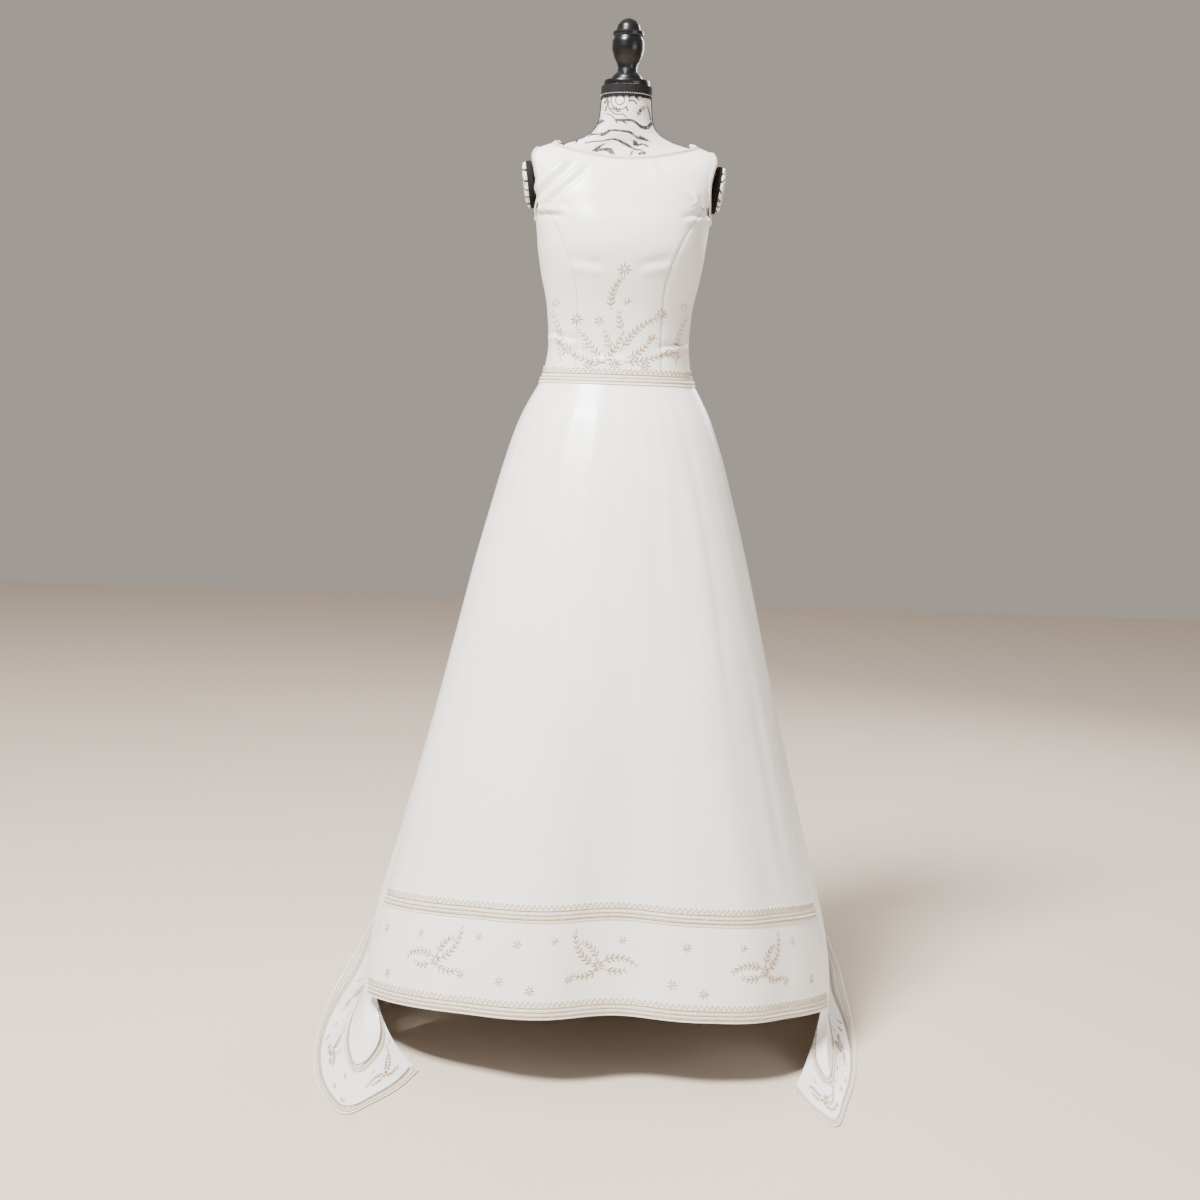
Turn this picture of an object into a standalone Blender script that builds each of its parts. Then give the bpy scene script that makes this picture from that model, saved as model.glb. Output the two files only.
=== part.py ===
"""A sleeveless A-line wedding dress with a short train, worn by a limbless dress form on a tripod.

Metres, +Z up, the front faces -Y, and the origin is on the floor under the form's pole.
The cloth is thin walls over the form: a bodice with princess seams, a skirt with a deep hem
band, and beaded braids. A turn counts quarters round the body: 0 is the centre front, 1 and -1
are the sides at +X and -X, and 2 and -2 both are the centre back.
"""

import math
from functools import lru_cache

import bpy
from mathutils import Vector

MM = 0.001

# Heights
WAIST_SEAM = 1.150
NECK_POINT = 1.561
NECK_FRONT = 1.533
NECK_BACK = 1.545
SHOULDER_TIP = 1.545
UNDERARM = 1.430
PRINCESS_TOP = 1.452
FRONT_HEM = 0.118
SIDE_HEM = 0.085

# Cloth
SATIN = 1.5 * MM
BRAID = 1.6 * MM
SEAM_GAP = 0.3 * MM
EASE = 4.0 * MM
SHOULDER_EASE = 3.4 * MM
BRAID_LIFT = 0.7 * MM
HEM_BAND = 0.165
BRAID_WIDTH = 0.026
NECK_BRAID_WIDTH = 0.008
ARMHOLE_BRAID_WIDTH = 0.006

# Where the long seams lie, in turns
SIDE_TURN = 0.95
SKIRT_SEAM = 0.82
ARMHOLE_HALF_TURN = 0.22

# The form's skin, from the thigh to the top of the neck
FORM_COLUMNS = ("height", "half_width", "front", "back", "square", "centre")
FORM = (
    (0.860, 0.150, 0.108, 0.122, 2.2, 0.0),
    (0.900, 0.160, 0.112, 0.132, 2.2, 0.0),
    (0.960, 0.164, 0.112, 0.134, 2.2, 0.0),
    (1.040, 0.150, 0.104, 0.118, 2.2, 0.0),
    (1.100, 0.134, 0.095, 0.099, 2.2, 0.0),
    (1.150, 0.127, 0.090, 0.089, 2.2, 0.0),
    (1.205, 0.120, 0.087, 0.084, 2.2, 0.0),
    (1.270, 0.124, 0.096, 0.086, 2.3, 0.0),
    (1.330, 0.136, 0.113, 0.088, 2.4, 0.0),
    (1.372, 0.143, 0.121, 0.089, 2.5, 0.0),
    (1.410, 0.147, 0.117, 0.091, 2.6, 0.0),
    (1.445, 0.152, 0.105, 0.092, 2.8, 0.0),
    (1.480, 0.158, 0.091, 0.089, 3.0, 0.0),
    (1.515, 0.163, 0.073, 0.080, 3.0, 0.0),
    (1.533, 0.1645, 0.058, 0.068, 2.8, 0.0),
    (1.544, 0.157, 0.049, 0.058, 2.5, 0.0),
    (1.553, 0.138, 0.043, 0.053, 2.3, 0.0),
    (1.561, 0.113, 0.041, 0.050, 2.1, 0.0),
    (1.569, 0.086, 0.043, 0.050, 2.0, 0.0),
    (1.582, 0.062, 0.045, 0.050, 2.0, 0.0),
    (1.600, 0.050, 0.046, 0.049, 2.0, 0.0),
    (1.630, 0.046, 0.046, 0.047, 2.0, 0.0),
    (1.664, 0.045, 0.045, 0.045, 2.0, 0.0),
)

# The skirt's inner face where it hangs free, from the waist seam to the floor
SKIRT = (
    (1.150, 0.130, 0.093, 0.092, 2.2, 0.0),
    (1.125, 0.144, 0.106, 0.108, 2.2, 0.0),
    (1.080, 0.167, 0.130, 0.136, 2.2, -0.002),
    (1.014, 0.190, 0.156, 0.170, 2.2, -0.006),
    (0.924, 0.215, 0.184, 0.208, 2.2, -0.012),
    (0.834, 0.238, 0.207, 0.244, 2.2, -0.020),
    (0.744, 0.259, 0.226, 0.280, 2.2, -0.029),
    (0.653, 0.280, 0.243, 0.318, 2.2, -0.038),
    (0.563, 0.301, 0.258, 0.358, 2.2, -0.048),
    (0.473, 0.323, 0.272, 0.400, 2.2, -0.058),
    (0.383, 0.346, 0.285, 0.446, 2.2, -0.068),
    (0.293, 0.370, 0.298, 0.494, 2.2, -0.077),
    (0.203, 0.394, 0.311, 0.545, 2.2, -0.085),
    (0.113, 0.411, 0.323, 0.590, 2.2, -0.092),
    (0.000, 0.415, 0.332, 0.640, 2.2, -0.097),
)

# How far the princess seams run from the centre front, by height
PRINCESS_COLUMNS = ("height", "across")
PRINCESS = (
    (1.150, 0.075),
    (1.210, 0.072),
    (1.285, 0.073),
    (1.330, 0.080),
    (1.380, 0.099),
    (1.417, 0.118),
    (1.452, 0.143),
)

# Soft flutes that swell out of the skirt (out above 0) or sink in, fading out upwards
FLUTE_COLUMNS = ("turn", "out", "spread", "top")
FLUTES = (
    (-0.22, 0.010, 0.20, 0.90),
    (0.06, -0.034, 0.23, 0.80),
    (0.42, 0.012, 0.17, 0.85),
    (1.36, 0.016, 0.09, 0.80),
    (1.50, -0.030, 0.08, 0.95),
    (1.66, 0.022, 0.10, 1.00),
    (1.83, -0.034, 0.08, 1.05),
    (2.00, 0.030, 0.10, 1.05),
    (-1.81, -0.032, 0.08, 1.00),
    (-1.64, 0.024, 0.10, 1.05),
    (-1.49, -0.028, 0.08, 0.90),
    (-1.35, 0.014, 0.09, 0.80),
)

# The back panels' hem, for the wearer's left and right: where it lies, how high, and the
# height from which the hanging cloth swings out to it
HEM_COLUMNS = ("turn", "left_across", "left_deep", "right_across", "right_deep", "high", "leave")
HEM = (
    (0.820, 0.321, -0.386, 0.290, -0.340, 0.000, 0.24),
    (0.860, 0.334, -0.440, 0.312, -0.420, 0.000, 0.24),
    (0.905, 0.352, -0.490, 0.344, -0.485, 0.000, 0.24),
    (0.950, 0.376, -0.524, 0.385, -0.540, 0.000, 0.24),
    (1.000, 0.400, -0.440, 0.432, -0.455, 0.000, 0.24),
    (1.060, 0.426, -0.335, 0.462, -0.340, 0.000, 0.24),
    (1.125, 0.446, -0.212, 0.480, -0.205, 0.000, 0.24),
    (1.190, 0.460, -0.060, 0.487, -0.055, 0.000, 0.24),
    (1.270, 0.470, 0.110, 0.486, 0.110, 0.000, 0.22),
    (1.370, 0.478, 0.310, 0.480, 0.310, 0.000, 0.20),
    (1.470, 0.476, 0.510, 0.476, 0.510, 0.000, 0.18),
    (1.590, 0.456, 0.715, 0.456, 0.715, 0.000, 0.16),
    (1.725, 0.376, 0.895, 0.376, 0.895, 0.000, 0.15),
    (1.860, 0.218, 1.020, 0.218, 1.020, 0.000, 0.15),
    (2.000, 0.000, 1.070, 0.000, 1.070, 0.000, 0.15),
)
# The side seams end above the hem, so that the train can swing forward under the front
TUCK = 0.07
VENT_TOP = 0.26
VENT_SHARE = 0.045
SWING_POWER = 2.6

# Low waves that run out along the train on the floor
TRAIN_WAVE_COLUMNS = ("turn", "rise", "spread")
TRAIN_WAVES = (
    (1.45, 0.014, 0.045),
    (1.64, 0.022, 0.055),
    (1.86, 0.018, 0.055),
    (-1.94, 0.020, 0.055),
    (-1.72, 0.024, 0.055),
    (-1.53, 0.016, 0.045),
)

# The form's hardware
ARM_PLATE_CENTRE = 1.488
ARM_PLATE_HALF_HEIGHT = 0.043
ARM_PLATE_HALF_DEPTH = 0.029
ARM_PLATE_LEAN = math.radians(-8.0)
POLE_RADIUS = 0.015
LEG_REACH = 0.195
LEG_HEADINGS = (90.0, 192.0, 348.0)
LEG_WIDTH = 0.022
LEG_THICKNESS = 0.026

# Turned profiles, from the bottom up, measured from the top of the neck
TURNED_COLUMNS = ("radius", "height")
FINIAL = (
    (0.0405, 0.0003),
    (0.0410, 0.0060),
    (0.0400, 0.0100),
    (0.0280, 0.0110),
    (0.0270, 0.0160),
    (0.0240, 0.0205),
    (0.0180, 0.0260),
    (0.0168, 0.0330),
    (0.0185, 0.0400),
    (0.0245, 0.0520),
    (0.0285, 0.0660),
    (0.0280, 0.0800),
    (0.0245, 0.0880),
    (0.0270, 0.0905),
    (0.0275, 0.0945),
    (0.0255, 0.0975),
    (0.0215, 0.0990),
    (0.0195, 0.1080),
    (0.0130, 0.1160),
    (0.0060, 0.1195),
)

BUTTONS = 9
BUTTON_RADIUS = 0.0055
BUTTON_HEIGHT = 0.0034
PLACKET_WIDTH = 0.016
PLACKET_LIFT = 1.0 * MM

SATIN_IVORY = (0.90, 0.88, 0.84, 1.0)
BRAID_CREAM = (0.86, 0.80, 0.71, 1.0)
FORM_LINEN = (0.80, 0.76, 0.74, 1.0)
LACQUER_BLACK = (0.012, 0.012, 0.014, 1.0)
RIBBON_BLACK = (0.015, 0.015, 0.015, 1.0)
STEEL_GREY = (0.10, 0.10, 0.11, 1.0)


# Small tools

def clear_scene():
    for thing in list(bpy.data.objects):
        bpy.data.objects.remove(thing, do_unlink=True)


@lru_cache(maxsize=None)
def material(name, colour, roughness, metallic=0.0):
    made = bpy.data.materials.new(name)
    made.use_nodes = True
    shader = made.node_tree.nodes["Principled BSDF"]
    shader.inputs["Base Color"].default_value = colour
    shader.inputs["Roughness"].default_value = roughness
    shader.inputs["Metallic"].default_value = metallic
    return made


def satin():
    return material("ivory_satin", SATIN_IVORY, 0.38)


def braid():
    return material("beaded_braid", BRAID_CREAM, 0.45)


def linen():
    return material("form_cover", FORM_LINEN, 0.85)


def lacquer():
    return material("black_lacquered_wood", LACQUER_BLACK, 0.30)


def ribbon():
    return material("black_ribbon", RIBBON_BLACK, 0.80)


def steel():
    return material("dark_steel", STEEL_GREY, 0.45, 0.8)


def add_mesh(name, points, faces, finish, place=(0.0, 0.0, 0.0)):
    mesh = bpy.data.meshes.new(name)
    mesh.from_pydata([tuple(p) for p in points], [], faces)
    mesh.update()
    mesh.shade_smooth()
    mesh.set_sharp_from_angle(angle=math.radians(40))
    thing = bpy.data.objects.new(name, mesh)
    thing.location = place
    mesh.materials.append(finish)
    bpy.context.scene.collection.objects.link(thing)
    return thing


def smooth_table(rows, marks, mark):
    """A row between the table's rows, on a smooth curve through them. marks rise."""
    last = len(marks) - 1
    mark = min(max(mark, marks[0]), marks[-1])
    i = 0
    while i < last - 1 and marks[i + 1] < mark:
        i += 1
    width = marks[i + 1] - marks[i]
    t = (mark - marks[i]) / width
    found = []
    for column in range(len(rows[0])):
        def slope(k):
            low, high = max(k - 1, 0), min(k + 1, last)
            return (rows[high][column] - rows[low][column]) / (marks[high] - marks[low])
        start, end = rows[i][column], rows[i + 1][column]
        found.append(
            (2 * t**3 - 3 * t**2 + 1) * start
            + (t**3 - 2 * t**2 + t) * width * slope(i)
            + (3 * t**2 - 2 * t**3) * end
            + (t**3 - t**2) * width * slope(i + 1)
        )
    return found


def bump(distance, spread):
    """1 in the middle, falling smoothly to 0 at the spread."""
    share = min(abs(distance) / spread, 1.0)
    return (1.0 + math.cos(math.pi * share)) / 2.0


def evenly(low, high, steps):
    return [low + (high - low) * k / steps for k in range(steps)]


def turn_distance(a, b):
    """The shorter way round between two turns, out of four."""
    gap = abs(a - b) % 4.0
    return min(gap, 4.0 - gap)


def smooth_step(share):
    share = min(max(share, 0.0), 1.0)
    return share * share * (3.0 - 2.0 * share)


# Rings round the body

QUARTER_STEPS = 40


@lru_cache(maxsize=None)
def quarter_arc(half_width, depth, square):
    """(across, deep) points of a rounded quarter, and how far along it each one is."""
    points = []
    for k in range(QUARTER_STEPS + 1):
        angle = math.pi / 2.0 * k / QUARTER_STEPS
        across, deep = math.sin(angle) / half_width, math.cos(angle) / depth
        reach = (across**square + abs(deep) ** square) ** (-1.0 / square)
        points.append((reach * math.sin(angle), reach * math.cos(angle)))
    lengths = [0.0]
    for (x0, y0), (x1, y1) in zip(points, points[1:]):
        lengths.append(lengths[-1] + math.hypot(x1 - x0, y1 - y0))
    return points, [length / lengths[-1] for length in lengths]


def on_ring(row, turn):
    """The point of a ring at a turn, spaced evenly along each quarter of the ring."""
    height, half_width, front, back, square, centre = row
    turn = (turn + 2.0) % 4.0 - 2.0
    side = -1.0 if turn < 0 else 1.0
    quarter = abs(turn)
    facing = -1.0 if quarter <= 1.0 else 1.0
    share = quarter if quarter <= 1.0 else 2.0 - quarter
    depth = front if facing < 0 else back
    points, lengths = quarter_arc(round(half_width, 6), round(depth, 6), round(square, 5))
    i = min(int(share * QUARTER_STEPS), QUARTER_STEPS - 1)
    while lengths[i] > share and i > 0:
        i -= 1
    while lengths[i + 1] < share and i < QUARTER_STEPS - 1:
        i += 1
    t = (share - lengths[i]) / (lengths[i + 1] - lengths[i])
    across = points[i][0] + t * (points[i + 1][0] - points[i][0])
    deep = points[i][1] + t * (points[i + 1][1] - points[i][1])
    return Vector((side * across, centre + facing * deep, height))


# The form's skin

def form_marks():
    marks = [0.0]
    for low, high in zip(FORM, FORM[1:]):
        marks.append(marks[-1] + math.hypot(high[0] - low[0], high[1] - low[1]))
    return marks


FORM_MARKS = form_marks()


@lru_cache(maxsize=None)
def station(height):
    """How far up the form's side line a height is."""
    low, high = FORM_MARKS[0], FORM_MARKS[-1]
    for _ in range(50):
        middle = (low + high) / 2.0
        if smooth_table(FORM, FORM_MARKS, middle)[0] < height:
            low = middle
        else:
            high = middle
    return (low + high) / 2.0


@lru_cache(maxsize=None)
def form_row(mark):
    return tuple(smooth_table(FORM, FORM_MARKS, mark))


def form_point(turn, mark):
    return on_ring(form_row(round(mark, 7)), turn)


def form_normal(turn, mark):
    step = 0.004
    along = form_point(turn + step, mark) - form_point(turn - step, mark)
    up = form_point(turn, mark + step) - form_point(turn, mark - step)
    return along.cross(up).normalized()


def ease(mark):
    """The room between the form and the cloth: least on the shoulders, which carry it."""
    share = smooth_step((mark - station(1.47)) / (station(1.535) - station(1.47)))
    return EASE + (SHOULDER_EASE - EASE) * share


def bodice_point(turn, mark, lift):
    """A point over the form: lift 0 is the cloth's inner face."""
    return form_point(turn, mark) + form_normal(turn, mark) * (ease(mark) + lift)


# Cloth walls

def wall(name, inner, outer, finish, closed=False):
    """A closed wall between two grids of points, rows by columns, split on the short diagonals."""
    rows, columns = len(inner), len(inner[0])
    points = [p for row in inner for p in row] + [p for row in outer for p in row]
    half = rows * columns

    def at(layer, r, c):
        return layer * half + r * columns + c % columns

    faces = []
    spans = columns if closed else columns - 1
    for r in range(rows - 1):
        for c in range(spans):
            low, low_on = (r, c), (r, c + 1)
            high, high_on = (r + 1, c), (r + 1, c + 1)
            rising = (points[at(1, *low)] - points[at(1, *high_on)]).length
            falling = (points[at(1, *low_on)] - points[at(1, *high)]).length
            if rising <= falling:
                halves = ((low, low_on, high_on), (low, high_on, high))
            else:
                halves = ((low, low_on, high), (low_on, high_on, high))
            for a, b, d in halves:
                faces.append((at(1, *a), at(1, *b), at(1, *d)))
                faces.append((at(0, *a), at(0, *d), at(0, *b)))
    for c in range(spans):
        faces.append((at(0, 0, c), at(0, 0, c + 1), at(1, 0, c + 1), at(1, 0, c)))
        top = rows - 1
        faces.append((at(0, top, c), at(1, top, c), at(1, top, c + 1), at(0, top, c + 1)))
    if not closed:
        for r in range(rows - 1):
            faces.append((at(0, r, 0), at(1, r, 0), at(1, r + 1, 0), at(0, r + 1, 0)))
            end = columns - 1
            faces.append((at(0, r, end), at(0, r + 1, end), at(1, r + 1, end), at(1, r, end)))
    return add_mesh(name, points, faces, finish)


def bodice_panel(name, places, lift=0.0, thickness=SATIN, finish=None, closed=False):
    """A wall over the form, from a grid of (turn, mark) places whose rows rise."""
    inner = [[bodice_point(turn, mark, lift) for turn, mark in row] for row in places]
    outer = [[bodice_point(turn, mark, lift + thickness) for turn, mark in row] for row in places]
    wall(name, inner, outer, finish or satin(), closed)
    return inner, outer


def gap_turn(mark):
    """Half a seam gap, in turns."""
    quarter = form_row(round(mark, 7))
    return SEAM_GAP / 2.0 / (0.78 * (quarter[1] + quarter[2]))


# The bodice

WAIST_MARK = station(WAIST_SEAM)
TIP_MARK = station(SHOULDER_TIP)
UNDERARM_MARK = station(UNDERARM)
PRINCESS_MARK = station(PRINCESS_TOP)
NECK_POINT_MARK = station(NECK_POINT)


def turn_at_across(across, mark):
    """The turn on the front where the form's skin is so far from the middle."""
    low, high = 0.0, 1.0
    for _ in range(30):
        middle = (low + high) / 2.0
        if form_point(middle, mark).x < across:
            low = middle
        else:
            high = middle
    return (low + high) / 2.0


@lru_cache(maxsize=None)
def princess_turn(mark):
    height = min(form_row(round(mark, 7))[0], PRINCESS_TOP)
    across = smooth_table(PRINCESS, [row[0] for row in PRINCESS], height)[1]
    return turn_at_across(across, mark)


def armhole_width(mark):
    """Half the armhole's opening in turns at a mark, 0 at the underarm and the shoulder."""
    share = (mark - UNDERARM_MARK) / (TIP_MARK - UNDERARM_MARK)
    if share <= 0.0 or share >= 1.0:
        return 0.0
    return ARMHOLE_HALF_TURN * math.sin(math.pi * share) ** 0.6


def armhole_middle(mark):
    """The turn of the side seam, which meets the shoulder seam at 1."""
    share = smooth_step((mark - UNDERARM_MARK) / (TIP_MARK - UNDERARM_MARK))
    return SIDE_TURN + (1.0 - SIDE_TURN) * share


def armhole_front(mark):
    return armhole_middle(mark) - armhole_width(mark)


def armhole_back(mark):
    return armhole_middle(mark) + armhole_width(mark)


def find_princess_meeting():
    """The mark where the princess seam runs into the armhole."""
    low, high = UNDERARM_MARK, PRINCESS_MARK
    for _ in range(30):
        middle = (low + high) / 2.0
        if princess_turn(middle) < armhole_front(middle):
            low = middle
        else:
            high = middle
    return (low + high) / 2.0


MEETING_MARK = find_princess_meeting()


def front_edge(mark):
    """The outer edge of the centre front panel: princess seam, armhole, shoulder seam."""
    if mark < MEETING_MARK + 1e-6:
        return princess_turn(mark) - gap_turn(mark)
    if mark < TIP_MARK:
        return armhole_front(mark)
    return 1.0 - gap_turn(mark)


def back_edge(mark):
    """The outer edge of a back panel: side seam, armhole, shoulder seam."""
    if mark < UNDERARM_MARK + 1e-6:
        return SIDE_TURN + gap_turn(mark)
    if mark < TIP_MARK:
        return armhole_back(mark)
    return 1.0 + gap_turn(mark)


def neckline(share, lowest):
    """The neckline's mark, share 0 at the middle and 1 at the shoulder seam."""
    low = station(lowest)
    return low + (NECK_POINT_MARK - low) * abs(share) ** 2.2


FRONT_COLUMNS = 20
SEAM_STEPS = 12
BASE_MARK = WAIST_MARK + SEAM_GAP / 2.0


def edge_shares(corner_marks, steps):
    """Rows as shares of the side edge's length, with one on each corner of the edge."""
    corners = [BASE_MARK] + corner_marks + [NECK_POINT_MARK]
    corners = [(mark - BASE_MARK) / (NECK_POINT_MARK - BASE_MARK) for mark in corners]
    shares = []
    for low, high, count in zip(corners, corners[1:], steps):
        shares += evenly(low, high, count)
    return shares + [1.0]


def front_places():
    shares = edge_shares([MEETING_MARK, TIP_MARK], (SEAM_STEPS, 7, 6))
    rows = []
    for share in shares:
        row = []
        for k in range(FRONT_COLUMNS + 1):
            column = 2.0 * k / FRONT_COLUMNS - 1.0
            top = neckline(column, NECK_FRONT)
            mark = BASE_MARK + share * (top - BASE_MARK)
            row.append((column * front_edge(mark), mark))
        rows.append(row)
    return rows


SIDE_COLUMNS = 4


def side_front_places(side):
    rows = []
    for r in range(SEAM_STEPS + 1):
        share = r / SEAM_STEPS
        row = []
        for k in range(SIDE_COLUMNS + 1):
            column = k / SIDE_COLUMNS
            top = UNDERARM_MARK + (MEETING_MARK - UNDERARM_MARK) * (1.0 - column) ** 1.6 - 0.0004
            mark = BASE_MARK + share * (top - BASE_MARK)
            inner = princess_turn(mark) + gap_turn(mark)
            outer = SIDE_TURN - gap_turn(mark)
            row.append((side * (inner + (outer - inner) * column), mark))
        rows.append(row if side > 0 else row[::-1])
    return rows


BACK_COLUMNS = 10


def back_places(side):
    shares = edge_shares([UNDERARM_MARK, TIP_MARK], (SEAM_STEPS, 7, 5))
    rows = []
    for share in shares:
        row = []
        for k in range(BACK_COLUMNS + 1):
            column = k / BACK_COLUMNS
            top = neckline(column, NECK_BACK)
            mark = BASE_MARK + share * (top - BASE_MARK)
            middle = 2.0 - gap_turn(mark)
            row.append((side * (middle - (middle - back_edge(mark)) * column), mark))
        rows.append(row[::-1] if side > 0 else row)
    return rows


def make_bodice():
    front = bodice_panel("bodice_front", front_places())
    backs = []
    for side, name in ((1, "left"), (-1, "right")):
        bodice_panel(f"bodice_side_front_{name}", side_front_places(side))
        backs.append(bodice_panel(f"bodice_back_{name}", back_places(side)))
    return front, backs[0], backs[1]


# Braids on the bodice

def down_column(panel, column, distance):
    """A point on a panel's outer face, so far down a column from its top edge, and its normal."""
    inner, outer = panel
    r = len(outer) - 1
    left = distance
    while r > 1 and (outer[r][column] - outer[r - 1][column]).length < left:
        left -= (outer[r][column] - outer[r - 1][column]).length
        r -= 1
    t = left / (outer[r][column] - outer[r - 1][column]).length
    place = outer[r][column].lerp(outer[r - 1][column], t)
    under = inner[r][column].lerp(inner[r - 1][column], t)
    return place, (place - under).normalized()


def neckline_points(front, back_left, back_right, distance):
    """(place, normal) round the neckline, from the right shoulder seam over the front."""
    ring = [down_column(front, c, distance) for c in range(len(front[0][0]))]
    left = [down_column(back_left, c, distance) for c in range(len(back_left[0][0]))]
    right = [down_column(back_right, c, distance) for c in range(len(back_right[0][0]))]

    def halfway(a, b):
        return (a[0] + b[0]) / 2.0, (a[1] + b[1]).normalized()

    ring[0] = halfway(ring[0], right[-1])
    ring[-1] = halfway(ring[-1], left[0])
    return ring + left[1:-1] + [halfway(left[-1], right[0])] + right[1:-1]


def make_neck_braid(front, back_left, back_right):
    """A narrow beaded edge round the neckline, made from the panels' points moved out."""
    lower = neckline_points(front, back_left, back_right, NECK_BRAID_WIDTH)
    upper = neckline_points(front, back_left, back_right, 0.4 * MM)
    rows = (lower, upper)
    under = [[p + n * BRAID_LIFT for p, n in row] for row in rows]
    over = [[p + n * (BRAID_LIFT + BRAID) for p, n in row] for row in rows]
    wall("neck_braid", under, over, braid(), closed=True)


def armhole_edge(side):
    """The armhole's outline as (turn, mark), from the underarm up the front and down the back."""
    steps = 11
    marks = [
        UNDERARM_MARK + (TIP_MARK - UNDERARM_MARK) * (1.0 - math.cos(math.pi * k / steps)) / 2.0
        for k in range(steps + 1)
    ]
    front = [(armhole_front(mark), mark) for mark in marks]
    back = [(armhole_back(mark), mark) for mark in marks]
    return [(side * turn, mark) for turn, mark in front + back[-2:0:-1]]


def make_armhole_braid(side, name):
    """A narrow edge round the armhole, on the cloth, moved out from the hole's middle."""
    edge = armhole_edge(side)
    middle_mark = (UNDERARM_MARK + TIP_MARK) / 2.0
    inner_ring, outer_ring = [], []
    for turn, mark in edge:
        here = form_point(turn, mark)
        across = math.copysign(1.0, abs(turn) - armhole_middle(mark)) if abs(
            abs(turn) - armhole_middle(mark)
        ) > 1e-6 else 0.0
        rise = (mark - middle_mark) / (TIP_MARK - middle_mark)
        away = Vector((across * armhole_width(mark) / ARMHOLE_HALF_TURN, rise))
        away.normalize()
        quarter = 0.78 * (abs(form_row(round(mark, 7))[1]) + form_row(round(mark, 7))[2])
        step_turn = away.x / quarter
        inner_ring.append((side * (abs(turn) + 0.4 * MM * step_turn), mark + 0.4 * MM * away.y))
        outer_ring.append(
            (
                side * (abs(turn) + ARMHOLE_BRAID_WIDTH * step_turn),
                mark + ARMHOLE_BRAID_WIDTH * away.y,
            )
        )
    rows = [inner_ring, outer_ring] if side > 0 else [inner_ring, outer_ring]
    lift = SATIN + BRAID_LIFT + 1.2 * MM
    inner = [[bodice_point(t, m, lift) for t, m in row] for row in rows]
    outer = [[bodice_point(t, m, lift + BRAID) for t, m in row] for row in rows]
    if side > 0:
        wall(f"armhole_braid_{name}", inner, outer, braid(), closed=True)
    else:
        turned_inner = [row[::-1] for row in inner]
        turned_outer = [row[::-1] for row in outer]
        wall(f"armhole_braid_{name}", turned_inner, turned_outer, braid(), closed=True)


# The skirt

SKIRT_HEIGHTS = [-row[0] for row in SKIRT]


@lru_cache(maxsize=None)
def skirt_row(height):
    return tuple(smooth_table(SKIRT, SKIRT_HEIGHTS, -height))


def swell(turn, height):
    """How far the flutes push the skirt out at a turn and height."""
    total = 0.0
    for at, out, spread, top in FLUTES:
        grown = smooth_step((top - height) / top)
        total += out * grown * bump(turn_distance(turn, at), spread)
    return total


def hanging_point(turn, height):
    """The skirt's inner face where it hangs between the waist and the hem."""
    point = on_ring(skirt_row(round(height, 6)), turn)
    away = Vector((point.x, point.y - skirt_row(round(height, 6))[5], 0.0)).normalized()
    return point + away * swell(turn, height)


def hem_height(turn):
    """The front hem's height, which sinks towards its corners."""
    share = min(abs(turn) / SKIRT_SEAM, 1.0)
    return FRONT_HEM + (SIDE_HEM - FRONT_HEM) * share**2.0


HEM_TURNS = [row[0] for row in HEM]
CURVE_STEPS = 70
SWING_STEPS = 50
WAIST_DROP = 1.4 * MM


def hem_place(turn):
    """(hem point, height where the cloth starts to swing out to it) on the back panels."""
    side = math.copysign(1.0, turn)
    _, left, left_deep, right, right_deep, high, leave = smooth_table(HEM, HEM_TURNS, abs(turn))
    across, deep = (left, left_deep) if side > 0 else (right, right_deep)
    return Vector((side * across, deep, max(high, 0.0))), leave


def front_line(turn):
    """The front's line at a turn, which draws in from the seam's open foot."""
    top, low = WAIST_SEAM - WAIST_DROP, hem_height(turn)
    steps = CURVE_STEPS + SWING_STEPS
    points = []
    for k in range(steps + 1):
        height = top + (low - top) * k / steps
        drawn = VENT_SHARE * smooth_step((VENT_TOP - height) / VENT_TOP)
        points.append(hanging_point(turn * (1.0 - drawn), height))
    return points


def back_line(turn):
    """A back panel's line: the cloth falls first and swings out to its hem near the floor."""
    top = WAIST_SEAM - WAIST_DROP
    end, leave = hem_place(turn)
    points = []
    for k in range(CURVE_STEPS):
        points.append(hanging_point(turn, top + (leave - top) * k / CURVE_STEPS))
    below = hanging_point(turn, end.z)
    below.x *= 1.0 - TUCK
    for k in range(SWING_STEPS + 1):
        t = k / SWING_STEPS
        point = hanging_point(turn, end.z + (leave - end.z) * (1.0 - t) ** 2)
        point.x *= 1.0 - TUCK * smooth_step(t)
        share = t**SWING_POWER
        point.x += share * (end.x - below.x)
        point.y += share * (end.y - below.y)
        points.append(point)
    return points


@lru_cache(maxsize=None)
def skirt_curve(turn):
    """The line of the cloth from the hem up to the waist at a turn, with lengths from the hem."""
    points = front_line(turn) if abs(turn) <= SKIRT_SEAM else back_line(turn)
    lengths = [0.0]
    for before, after in zip(points[::-1], points[-2::-1]):
        lengths.append(lengths[-1] + (after - before).length)
    return points[::-1], lengths


def curve_point(turn, distance):
    """The point of a skirt line at a distance up from the hem."""
    points, lengths = skirt_curve(turn)
    distance = min(max(distance, 0.0), lengths[-1])
    low, high = 0, len(lengths) - 1
    while high - low > 1:
        middle = (low + high) // 2
        if lengths[middle] <= distance:
            low = middle
        else:
            high = middle
    t = (distance - lengths[low]) / (lengths[high] - lengths[low])
    return points[low].lerp(points[high], t)


def train_wave(turn, point):
    """How far a wave lifts the cloth of the train off the floor."""
    if point.y < 0.15:
        return 0.0
    reach = smooth_step((point.y - 0.35) / 0.35)
    low = 1.0 - smooth_step((point.z - 0.02) / 0.06)
    total = sum(rise * bump(turn_distance(turn, at), spread) for at, rise, spread in TRAIN_WAVES)
    return total * reach * low


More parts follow.
